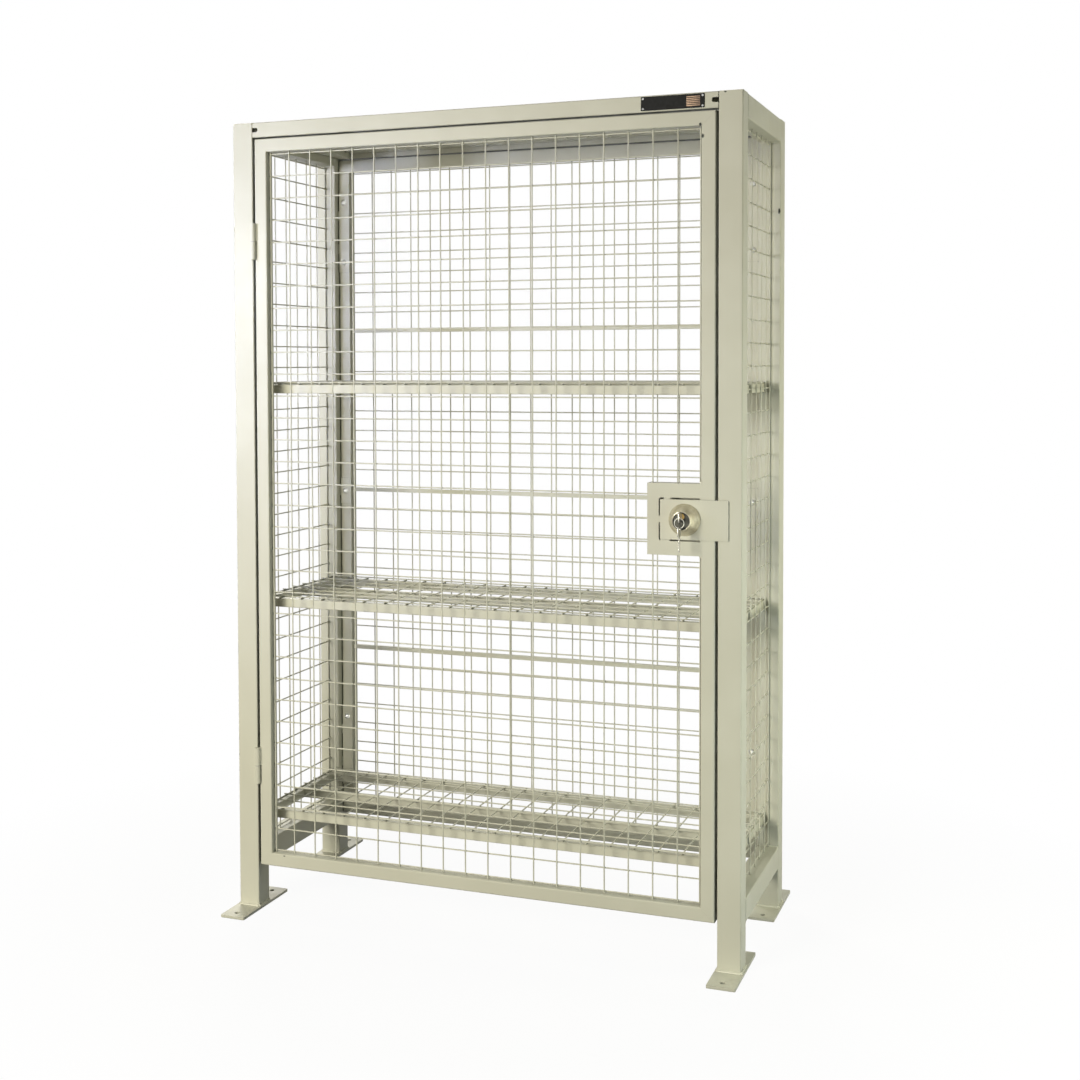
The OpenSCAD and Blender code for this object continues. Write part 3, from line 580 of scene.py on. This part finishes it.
@dataclass
class Finishes:
    """Every finish of the cage, made once."""

    coat: bpy.types.Material = field(default_factory=lambda: PowderCoat().material())
    # Painted highlight: the weld coat is a lighter copy of the powder coat, standing in for the bright
    # light on the beads; its third, darker tone is painted shade in their crevices.
    weld: bpy.types.Material = field(default_factory=lambda: PowderCoat(
        "weld_coat_painted_highlight", (0.74, 0.73, 0.64), (0.66, 0.65, 0.56), (0.50, 0.49, 0.42),
        crevice_shade_reach=2.0 * MM, roughness=(0.30, 0.42), peel_per_metre=380.0, marks=()).material())
    zinc: bpy.types.Material = field(default_factory=lambda: BareMetal(
        "zinc_fixings", (0.80, 0.80, 0.78), (0.62, 0.62, 0.60), (0.25, 0.40)).material())
    lock_steel: bpy.types.Material = field(default_factory=lambda: BareMetal(
        "lock_steel", (0.42, 0.42, 0.40), (0.28, 0.28, 0.27), (0.34, 0.50)).material())
    # The collar's painted shade covers its bore inside a radius of 18.1 mm.
    collar: bpy.types.Material = field(default_factory=lambda: SpunSteel(
        "collar_steel", axis=(0.469, -0.25, 0.9385), bore_shade_radius=18.1 * MM).material())
    dark: bpy.types.Material = field(default_factory=lambda: BareMetal(
        "dark_metal", (0.055, 0.055, 0.045), (0.03, 0.03, 0.026), (0.30, 0.45), metallic=0.6).material())
    brass: bpy.types.Material = field(default_factory=lambda: BareMetal(
        "brass", (0.75, 0.52, 0.20), (0.55, 0.36, 0.12), (0.22, 0.38)).material())
    nickel: bpy.types.Material = field(default_factory=lambda: BareMetal(
        "key_nickel", (0.56, 0.55, 0.50), (0.38, 0.37, 0.33), (0.28, 0.42)).material())
    plate: bpy.types.Material = field(default_factory=lambda: BareMetal(
        "plate_black", (0.012, 0.012, 0.013), (0.006, 0.006, 0.006), (0.50, 0.62),
        streaks=(1.0, 1.0, 14.0), grain_per_metre=260.0, metallic=0.0, specular=0.12).material())
    bronze: bpy.types.Material = field(default_factory=lambda: BareMetal(
        "plate_bronze", (0.26, 0.18, 0.13), (0.17, 0.12, 0.09), (0.42, 0.55),
        streaks=(0.2, 1.0, 1.0), grain_per_metre=420.0).material())

    def dress_nodes(self) -> None:
        """Gives every node of the frame the finish of its slot."""
        by_slot = {
            "powder_coat": self.coat, "zinc_fixings": self.zinc, "lock_steel": self.lock_steel,
            "collar_steel": self.collar, "dark_metal": self.dark, "brass": self.brass,
            "key_nickel": self.nickel, "plate_black": self.plate,
        }
        for part in FRAME["record"]["subparts"]:
            node = FRAME["nodes"][part["node"]]
            finish = by_slot[part["material_slot"]]
            node.data.materials.clear()
            node.data.materials.append(finish)


def deselect() -> None:
    """Deselects every object, so that an operator acts on the new one alone."""
    bpy.ops.object.select_all(action="DESELECT")


def select_faces(piece: bpy.types.Object, test: Callable[[bpy.types.MeshPolygon], bool]) -> None:
    """Selects the faces that pass a test, in edit mode.

    Args:
        piece: The piece, in edit mode.
        test: Says of a face whether it is wanted.
    """
    bpy.ops.mesh.select_mode(type="FACE")
    bpy.ops.mesh.select_all(action="DESELECT")
    bpy.ops.object.mode_set(mode="OBJECT")
    for face in piece.data.polygons:
        face.select = test(face)
    bpy.ops.object.mode_set(mode="EDIT")


def array(piece: bpy.types.Object, count: int, offset: Triple) -> None:
    """Repeats a piece along a line with an applied array.

    Args:
        piece: The active piece, in object mode.
        count: Copies in all.
        offset: From one copy to the next.
    """
    repeat = piece.modifiers.new("repeat", "ARRAY")
    repeat.count = count
    repeat.use_relative_offset = False
    repeat.use_constant_offset = True
    repeat.constant_offset_displace = offset
    bpy.ops.object.modifier_apply(modifier=repeat.name)


def copied(piece: bpy.types.Object, place: Matrix) -> bpy.types.Object:
    """Copies a piece with its own mesh.

    Args:
        piece: The piece to copy.
        place: Where the copy goes.

    Returns:
        The copy.
    """
    other = piece.copy()
    other.data = piece.data.copy()
    other.matrix_world = place
    bpy.context.scene.collection.objects.link(other)
    return other


def joined(pieces: list[bpy.types.Object]) -> bpy.types.Object:
    """Joins pieces into the first.

    Args:
        pieces: The pieces, each with its own mesh.

    Returns:
        The joined piece.
    """
    deselect()
    for piece in pieces:
        piece.select_set(True)
    bpy.context.view_layer.objects.active = pieces[0]
    if len(pieces) > 1:
        bpy.ops.object.join()
    return pieces[0]


def finish_piece(piece: bpy.types.Object, name: str, body: Body,
                 finish: bpy.types.Material, angle: float = 40.0) -> bpy.types.Object:
    """Turns a piece's normals outward, puts its place into its mesh, and gives it its finish and its
    body.

    Args:
        piece: The modelled piece.
        name: Its name.
        body: The body that it rides on.
        finish: The material.
        angle: Edges flatter than this, in degrees, are shaded smooth.

    Returns:
        The finished piece.
    """
    deselect()
    piece.select_set(True)
    bpy.context.view_layer.objects.active = piece
    bpy.ops.object.transform_apply(location=True, rotation=True, scale=True)
    bpy.ops.object.mode_set(mode="EDIT")
    bpy.ops.mesh.select_all(action="SELECT")
    bpy.ops.mesh.normals_make_consistent(inside=False)
    bpy.ops.object.mode_set(mode="OBJECT")
    bpy.ops.object.shade_smooth_by_angle(angle=math.radians(angle))
    piece.name = name
    piece.data.name = name
    piece.data.materials.clear()
    piece.data.materials.append(finish)
    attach(piece, body.value)
    LOG.info("%s: %d faces on %s", name, len(piece.data.polygons), body.value)
    return piece


@dataclass(frozen=True)
class Run:
    """A straight weld from start to end. What it lies on faces along normal."""

    start: Vector
    end: Vector
    normal: Vector


@dataclass
class Welds:
    """The rippled weld beads that hold the frames together.

    Attributes:
        finishes: The finishes of the cage.
        ripple: The length of one ripple.
        sides: The corners of a bead's ring.
        dip: The radius of a drawn-in ring, as a share of the leg.
        tip: The radius of a bead's ends, as a share of the leg.
        base_leg: The radius at the foot plates. Those of the others follow.
        lock_seam_proud: How high the seam stands, as a share of its radius.
        lock_setback: How far the lower and the upper bead stay behind the front, in legs.
        smooth_below: Edges flatter than this, in degrees, are shaded smooth.
    """

    finishes: Finishes
    ripple: float = 2.6 * MM
    sides: int = 10
    dip: float = 0.84
    tip: float = 0.4
    base_leg: float = 3.8 * MM
    rail_leg: float = 2.6 * MM
    lock_leg: float = 4.6 * MM
    lock_seam_leg: float = 2.2 * MM
    lock_seam_proud: float = 0.05
    lock_setback: tuple[float, float] = (0.3, 1.5)
    seam_leg: float = 1.7 * MM
    seam_proud: float = 0.16
    smooth_below: float = 60.0

    def build(self) -> None:
        """Builds every weld."""
        ground = self.finishes.coat
        door_seams = self._corner_runs(("door_rail_top", "door_rail_bottom"), "door_stile_left")
        back_seams = self._corner_runs(("back_rail_top", "back_rail_bottom"), "back_stile_left")
        self._beads("foot_welds", self._foot_runs(), self.base_leg, Body.CAGE)
        self._beads("side_rail_welds", self._rail_runs(), self.rail_leg, Body.CAGE)
        self._beads("shelf_welds", self._shelf_runs(), self.rail_leg, Body.CAGE)
        self._beads("lock_box_welds", self._lock_runs(), self.lock_leg, Body.DOOR)
        self._beads("lock_box_seam", self._lock_seam_runs(), self.lock_seam_leg, Body.DOOR,
                    self.lock_seam_proud, ground)
        self._beads("door_corner_welds", door_seams, self.seam_leg, Body.DOOR, self.seam_proud, ground)
        self._beads("back_corner_welds", back_seams, self.seam_leg, Body.CAGE, self.seam_proud, ground)

    def _bead(self, leg: float, length: float) -> bpy.types.Object:
        """Extrudes one bead along +Z, ring by ring, with drawn-in rings and round ends.

        Args:
            leg: Its radius.
            length: Its length.

        Returns:
            The bead, at the origin.
        """
        deselect()
        bpy.ops.mesh.primitive_circle_add(vertices=self.sides, radius=leg * self.tip, fill_type="NGON",
                                          location=(0, 0, 0))
        bead = bpy.context.object
        bpy.ops.object.mode_set(mode="EDIT")
        bpy.ops.mesh.select_all(action="SELECT")
        rings = 2 * max(2, round(length / self.ripple))
        shares = [self.tip, *(self.dip if ring % 2 else 1.0 for ring in range(1, rings)), self.tip]
        for before, after in pairwise(shares):
            bpy.ops.mesh.extrude_region_move(TRANSFORM_OT_translate={"value": (0, 0, length / rings)})
            bpy.ops.transform.resize(value=(after / before, after / before, 1.0))
        bpy.ops.object.mode_set(mode="OBJECT")
        return bead

    def _beads(self, name: str, runs: list[Run], leg: float, body: Body, proud: float = 1.0,
               finish: bpy.types.Material | None = None) -> None:
        """Models a bead for each length that occurs and lays copies of it along the runs.

        Args:
            name: The piece's name.
            runs: Where the beads go.
            leg: Their radius.
            body: The body that they ride on.
            proud: How high a bead stands, as a share of its radius.
            finish: Its finish, or None for the weld coat, which is painted lighter as a highlight.
        """
        patterns: dict[float, bpy.types.Object] = {}
        laid = []
        for run in runs:
            line = run.end - run.start
            length = round(line.length, 4)
            if length not in patterns:
                patterns[length] = self._bead(leg, length)
            ahead = line.normalized()
            across = run.normal.cross(ahead)
            turn = Matrix((across, run.normal * proud, ahead)).transposed().to_4x4()
            laid.append(copied(patterns[length], Matrix.Translation(run.start) @ turn))
        for pattern in patterns.values():
            bpy.data.objects.remove(pattern)
        finish_piece(joined(laid), name, body, finish or self.finishes.weld,
                     self.smooth_below)

    def _foot_runs(self) -> list[Run]:
        """Runs round the four posts on their foot plates."""
        up = Vector((0, 0, 1))
        runs = []
        for node in ("post_front_left", "post_front_right", "post_rear_left", "post_rear_right"):
            low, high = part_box(node)
            corners = [Vector((x, y, low[2])) for x, y in (
                (low[0], low[1]), (high[0], low[1]), (high[0], high[1]), (low[0], high[1]))]
            runs += [Run(corners[i], corners[(i + 1) % 4], up) for i in range(4)]
        return runs

    def _rail_runs(self) -> list[Run]:
        """Runs across the ends of the side rails, where they meet the posts."""
        runs = []
        for node, edges in (("side_rail_top_left", (0,)), ("side_rail_top_right", (0,)),
                            ("side_rail_bottom_left", (0, 1)), ("side_rail_bottom_right", (0, 1))):
            low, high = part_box(node)
            for y, (edge, level) in product((low[1], high[1]), enumerate((low[2], high[2]))):
                if edge in edges:
                    normal = Vector((0, 0, 1 if edge else -1))
                    runs.append(Run(Vector((low[0], y, level)), Vector((high[0], y, level)), normal))
        return runs

    def _shelf_runs(self) -> list[Run]:
        """Runs at the inner corners of the shelf frames."""
        runs = []
        for number in (1, 2, 3):
            low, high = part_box(f"shelf_{number}_bars")
            width = high[2] - low[2]
            for x, sign in ((low[0] + width, 1), (high[0] - width, -1)):
                for y, side in ((low[1] + width, 1), (high[1] - width, -1)):
                    normal = Vector((sign, side, 0)).normalized()
                    runs.append(Run(Vector((x, y, low[2])), Vector((x, y, high[2])), normal))
        return runs

    def _lock_runs(self) -> list[Run]:
        """Runs where the lock box meets the inner side of the door stile."""
        low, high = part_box("lock_box")
        front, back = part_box("door_stile_right")[0][1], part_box("door_stile_right")[1][1]
        runs = []
        for z, side, setback in zip((low[2], high[2]), (-1, 1), self.lock_setback):
            start = Vector((high[0], front + self.lock_leg * setback, z))
            end = Vector((high[0], back, z))
            runs.append(Run(start, end, Vector((-1, 0, side)).normalized()))
        return runs

    def _lock_seam_runs(self) -> list[Run]:
        """The ground seam in the groove between the lock box and the stile's round edge."""
        low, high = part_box("lock_box")
        x = high[0] + self.lock_seam_leg / 2
        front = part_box("door_stile_right")[0][1]
        return [Run(Vector((x, front, low[2])), Vector((x, front, high[2])), Vector((0, -1, 0)))]

    def _corner_runs(self, rails: tuple[str, str], stile: str) -> list[Run]:
        """Ground seams across the corners of a frame, on its front and its back.

        Args:
            rails: The nodes of the top and the bottom rail.
            stile: The node of one stile.

        Returns:
            The runs, from the outer to the inner corners.
        """
        low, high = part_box(stile)
        width = high[0] - low[0]
        runs = []
        for x, inward in ((low[0], 1), (-low[0], -1)):
            for rail, z_index, up in ((rails[0], 1, -1), (rails[1], 0, 1)):
                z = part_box(rail)[z_index][2]
                for y, facing in ((low[1], -1), (high[1], 1)):
                    outer = Vector((x, y, z)) + Vector((inward, 0, up)) * self.seam_leg
                    inner = Vector((x + inward * width, y, z + up * width))
                    runs.append(Run(outer, inner, Vector((0, facing, 0))))
        return runs


@dataclass
class SpotWelds:
    """The spots where the wires of a panel are fused, a little wider than the wires."""

    finishes: Finishes
    wire: float = 3.0 * MM
    cell_w: float = 53.0 * MM
    cell_h: float = 50.0 * MM
    edge: float = 4.0 * MM
    spread: float = 2.3 * MM
    depth: float = 1.9 * MM
    smooth_below: float = 80.0

    def build(self) -> None:
        """Builds the spots of every panel."""
        lock_low, lock_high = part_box("lock_box")
        lock_from, lock_to = lock_low[2] - self.wire, lock_high[2] + self.wire
        self._panel("door_mesh", "door_spot_welds", Body.DOOR, (0, 2),
                    lambda x, z: x < lock_low[0] or not lock_from < z < lock_to)
        for side in ("left", "right"):
            self._panel(f"side_mesh_{side}", f"side_spot_welds_{side}", Body.CAGE, (1, 2))
        self._panel("back_mesh", "back_spot_welds", Body.CAGE, (0, 2))
        self._panel("roof_mesh", "roof_spot_welds", Body.CAGE, (0, 1))
        for number in (1, 2, 3):
            self._panel(f"shelf_{number}_mesh", f"shelf_{number}_spot_welds", Body.CAGE, (0, 1))

    def _rows(self, span: float, pitch: float, odd: bool, closed: bool) -> list[float]:
        """Places of the wires about the middle of a span.

        Args:
            span: The free width between the tubes.
            pitch: From wire to wire.
            odd: Whether a wire lies in the middle.
            closed: Whether an edge wire closes a wide last row.

        Returns:
            The offsets from the middle.
        """
        share = 0.0 if odd else 0.5
        count = 2 * math.floor((span / 2 - self.wire) / pitch + share) + (1 if odd else 0)
        rows = [(i - (count - 1) / 2) * pitch for i in range(count)]
        if closed and span / 2 - rows[-1] > pitch / 2:
            rows = [self.edge - span / 2, *rows, span / 2 - self.edge]
        return rows

    def _spot(self) -> bpy.types.Object:
        """Models one spot: a ball of a few faces, pressed flat.

        Returns:
            The spot, at the origin.
        """
        deselect()
        bpy.ops.mesh.primitive_ico_sphere_add(subdivisions=1, radius=self.spread, location=(0, 0, 0))
        spot = bpy.context.object
        bpy.ops.object.mode_set(mode="EDIT")
        bpy.ops.mesh.select_all(action="SELECT")
        bpy.ops.transform.resize(value=(1.0, 1.0, self.depth / self.spread))
        bpy.ops.object.mode_set(mode="OBJECT")
        return spot

    def _panel(self, node: str, name: str, body: Body, axes: tuple[int, int],
               keep: Callable[[float, float], bool] = lambda across, along: True) -> None:
        """Lays a spot on every crossing of a panel.

        Args:
            node: The panel's node.
            name: The piece's name.
            body: The body that it rides on.
            axes: The axes across and along the panel.
            keep: Says of a crossing whether both wires pass there.
        """
        low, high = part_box(node)
        across, along = axes
        normal = 3 - across - along
        middle = [(low[i] + high[i]) / 2 for i in range(3)]
        upright = along == 2
        columns = self._rows(high[across] - low[across], self.cell_w, False, True)
        levels = self._rows(high[along] - low[along], self.cell_h, upright, node == "roof_mesh")
        turn = Matrix.Identity(4) if normal == 2 else Matrix.Rotation(math.pi / 2, 4, "YX"[normal])
        pattern = self._spot()
        laid = []
        for column, level in product(columns, levels):
            place = Vector(middle)
            place[across] += column
            place[along] += level
            if keep(place[across], place[along]):
                laid.append(copied(pattern, Matrix.Translation(place) @ turn))
        bpy.data.objects.remove(pattern)
        finish_piece(joined(laid), name, body, self.finishes.coat, self.smooth_below)


@dataclass
class Nameplate:
    """The plain black plate's ribbed bronze panel and the stems in its four rivets."""

    finishes: Finishes
    panel_from: float = 95.5 * MM
    panel_w: float = 28.5 * MM
    panel_margin: float = 3.6 * MM
    rib_count: int = 6
    rib_share: float = 0.62
    rib_proud: float = 0.22 * MM
    rib_bevel: float = 0.6
    stem_d: float = 1.7 * MM
    stem_dish: float = 0.12
    stem_sunk: float = 0.14
    rivet_in: float = 4.0 * MM

    def build(self) -> None:
        """Builds the panel and the stems."""
        self._panel()
        self._stems()

    def _panel(self) -> None:
        """Models one rib with rounded edges and repeats it up the panel."""
        low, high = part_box("nameplate")
        height = high[2] - low[2] - 2 * self.panel_margin
        pitch = height / self.rib_count
        deselect()
        x = low[0] + self.panel_from + self.panel_w / 2
        z = low[2] + self.panel_margin + pitch / 2
        bpy.ops.mesh.primitive_cube_add(size=1.0, location=(x, low[1], z),
                                        scale=(self.panel_w, 2 * self.rib_proud, pitch * self.rib_share))
        rib = bpy.context.object
        bpy.ops.object.transform_apply(location=True, rotation=True, scale=True)
        bpy.ops.object.mode_set(mode="EDIT")
        select_faces(rib, lambda face: face.normal.y < -FACING)
        bpy.ops.mesh.bevel(offset=self.rib_proud * self.rib_bevel, segments=2, affect="EDGES")
        bpy.ops.object.mode_set(mode="OBJECT")
        array(rib, self.rib_count, (0.0, 0.0, pitch))
        finish_piece(rib, "nameplate_ribs", Body.CAGE, self.finishes.bronze)

    def _stems(self) -> None:
        """Models one dished rivet stem and copies it into the four heads."""
        low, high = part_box("nameplate")
        face_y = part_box("nameplate_rivets")[0][1]
        deselect()
        bpy.ops.mesh.primitive_cylinder_add(vertices=16, radius=self.stem_d / 2, depth=self.stem_d / 2,
                                            location=(0, 0, 0), rotation=(math.pi / 2, 0, 0))
        stem = bpy.context.object
        bpy.ops.object.transform_apply(location=True, rotation=True, scale=True)
        bpy.ops.object.mode_set(mode="EDIT")
        dish = self.stem_d * self.stem_dish
        select_faces(stem, lambda face: face.normal.y < -FACING)
        bpy.ops.mesh.inset(thickness=dish)
        bpy.ops.mesh.extrude_region_move(TRANSFORM_OT_translate={"value": (0, dish, 0)})
        bpy.ops.object.mode_set(mode="OBJECT")
        y = face_y + self.stem_d * self.stem_sunk
        laid = []
        for x, z in product((low[0] + self.rivet_in, high[0] - self.rivet_in),
                            (low[2] + self.rivet_in, high[2] - self.rivet_in)):
            laid.append(copied(stem, Matrix.Translation((x, y, z))))
        bpy.data.objects.remove(stem)
        finish_piece(joined(laid), "rivet_stems", Body.CAGE, self.finishes.dark)


@dataclass
class Keys:
    """The two keys, each with a stamped rim round its bow, a milled groove and cuts."""

    finishes: Finishes
    bow_l: float = 21.0 * MM
    bow_round: float = 6.0 * MM
    hole_d: float = 6.0 * MM
    hole_rim: float = 2.5 * MM
    stamp_rim: float = 1.6 * MM
    stamp_depth: float = 0.25 * MM
    blade_w: float = 8.0 * MM
    blade_inset: float = 0.1 * MM
    groove_rim: float = 2.9 * MM
    groove_depth: float = 0.45 * MM
    tip: float = 2.5 * MM
    shoulder: float = 2.0 * MM
    cut_pitch: float = 5.2 * MM
    cuts: tuple[float, ...] = (1.4 * MM, 2.2 * MM, 1.4 * MM, 2.2 * MM)
    edge: float = 0.18 * MM
    bow_segments: int = 8
    hole_sides: int = 32
    smooth_below: float = 35.0
    soften_above: float = 40.0
    upright_slack: float = 0.01 * MM

    def build(self) -> None:
        """Builds the key in the plug and the one on the ring."""
        low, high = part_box("key")
        end = self.hole_d / 2 + self.hole_rim
        pattern = self._key(high[0] - low[0], high[1] - low[1], high[2] - low[2])
        across, middle = (low[0] + high[0]) / 2, (low[2] + high[2]) / 2
        turn = Matrix(((0, 0, 1), (1, 0, 0), (0, 1, 0))).to_4x4()
        self._place(pattern, "key", "key_cut", Body.KEY, Vector((across, low[1] + end, middle)), turn)
        low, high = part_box("spare_key")
        across, middle = (low[0] + high[0]) / 2, (low[1] + high[1]) / 2
        turn = Matrix(((0, 0, 1), (0, 1, 0), (-1, 0, 0))).to_4x4()
        place = Vector((across, middle, high[2] - end))
        self._place(pattern, "spare_key", "spare_key_cut", Body.RING, place, turn)
        bpy.data.objects.remove(pattern)

    def _place(self, pattern: bpy.types.Object, node: str, name: str, body: Body,
               place: Vector, turn: Matrix) -> None:
        """Lays a copy of the key where a node of the frame stands.

        Args:
            pattern: The modelled key.
            node: The node that it stands for.
            name: The piece's name.
            body: The body that it rides on.
            place: Where the hole in its bow goes.
            turn: Its turn.
        """
        piece = finish_piece(copied(pattern, Matrix.Translation(place) @ turn), name, body,
                             self.finishes.nickel, self.smooth_below)
        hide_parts(node)

    def _plate(self, start: float, end: float, width: float, thick: float) -> bpy.types.Object:
        """Adds a flat plate that lies along +X about the X axis.

        Args:
            start: Where it starts.
            end: Where it ends.
            width: Its width.
            thick: Its thickness.

        Returns:
            The plate, active and in object mode.
        """
        deselect()
        bpy.ops.mesh.primitive_cube_add(size=1.0, location=((start + end) / 2, 0, 0),
                                        scale=(end - start, width, thick))
        plate = bpy.context.object
        bpy.ops.object.transform_apply(location=True, rotation=True, scale=True)
        return plate

    def _round_corners(self, plate: bpy.types.Object, offset: float, segments: int,
                       from_x: float) -> None:
        """Bevels the upright edges of a plate that lie beyond a place.

        Args:
            plate: The plate, in object mode.
            offset: The size of the bevel.
            segments: Its segments.
            from_x: Only edges farther along than this.
        """
        bpy.ops.object.mode_set(mode="EDIT")
        bpy.ops.mesh.select_mode(type="EDGE")
        bpy.ops.mesh.select_all(action="DESELECT")
        bpy.ops.object.mode_set(mode="OBJECT")
        for edge in plate.data.edges:
            first, second = (plate.data.vertices[i].co for i in edge.vertices)
            aslant = abs(first.x - second.x) + abs(first.y - second.y)
            edge.select = aslant < self.upright_slack and first.x > from_x
        bpy.ops.object.mode_set(mode="EDIT")
        bpy.ops.mesh.bevel(offset=offset, segments=segments, affect="EDGES")
        bpy.ops.object.mode_set(mode="OBJECT")

    def _press(self, plate: bpy.types.Object, rim: float, depth: float) -> None:
        """Presses the broad faces of a plate in, inside a rim.

        Args:
            plate: The plate, in object mode.
            rim: The width of the rim.
            depth: How deep each face goes.
        """
        bpy.ops.object.mode_set(mode="EDIT")
        select_faces(plate, lambda face: abs(face.normal.z) > FACING)
        bpy.ops.mesh.inset(thickness=rim)
        bpy.ops.mesh.inset(thickness=depth)
        bpy.ops.transform.shrink_fatten(value=-depth)
        bpy.ops.object.mode_set(mode="OBJECT")

    def _combine(self, piece: bpy.types.Object, other: bpy.types.Object, operation: str) -> None:
        """Applies a boolean and removes the other piece.

        Args:
            piece: The piece that stays.
            other: The piece that is added or taken away.
            operation: UNION or DIFFERENCE.
        """
        deselect()
        piece.select_set(True)
        bpy.context.view_layer.objects.active = piece
        cut = piece.modifiers.new("combine", "BOOLEAN")
        cut.operation = operation
        cut.object = other
        cut.solver = "EXACT"
        bpy.ops.object.modifier_apply(modifier=cut.name)
        bpy.data.objects.remove(other)

    def _key(self, thick: float, length: float, bow_w: float) -> bpy.types.Object:
        """Models a key: the hole of its bow at the origin, its blade towards +X.

        Args:
            thick: Its thickness.
            length: Its whole length.
            bow_w: The width of its bow.

        Returns:
            The key.
        """
        back = self.hole_d / 2 + self.hole_rim
        blade_x = self.bow_l - back
        bow = self._plate(-back, blade_x, bow_w, thick)
        self._round_corners(bow, self.bow_round, self.bow_segments, -bow_w)
        self._press(bow, self.stamp_rim, self.stamp_depth)
        blade = self._plate(blade_x - self.stamp_rim / 2, length - back, self.blade_w,
                            thick - 2 * self.blade_inset)
        self._round_corners(blade, self.tip, 1, blade_x)
        self._press(blade, self.groove_rim, self.groove_depth)
        for number, size in enumerate(self.cuts, 1):
            deselect()
            place = (blade_x + self.shoulder + number * self.cut_pitch, -self.blade_w / 2, 0)
            bpy.ops.mesh.primitive_cube_add(size=1.0, location=place, rotation=(0, 0, math.pi / 4),
                                            scale=(size, size, 2 * thick))
            self._combine(blade, bpy.context.object, "DIFFERENCE")
        self._combine(bow, blade, "UNION")
        bpy.ops.mesh.primitive_cylinder_add(vertices=self.hole_sides, radius=self.hole_d / 2,
                                            depth=3 * thick, location=(0, 0, 0))
        self._combine(bow, bpy.context.object, "DIFFERENCE")
        soften = bow.modifiers.new("edges", "BEVEL")
        soften.width = self.edge
        soften.segments = 2
        soften.limit_method = "ANGLE"
        soften.angle_limit = math.radians(self.soften_above)
        bpy.ops.object.modifier_apply(modifier=soften.name)
        return bow


def main() -> None:
    """Builds the studio and dresses the cage."""
    logging.basicConfig(level=logging.INFO, format="%(name)s: %(message)s")
    StudioCamera().build()
    Studio().build()
    finishes = Finishes()
    finishes.dress_nodes()
    for assembly in (Welds(finishes), SpotWelds(finishes), Nameplate(finishes), Keys(finishes)):
        assembly.build()


if __name__ == "__main__":
    main()
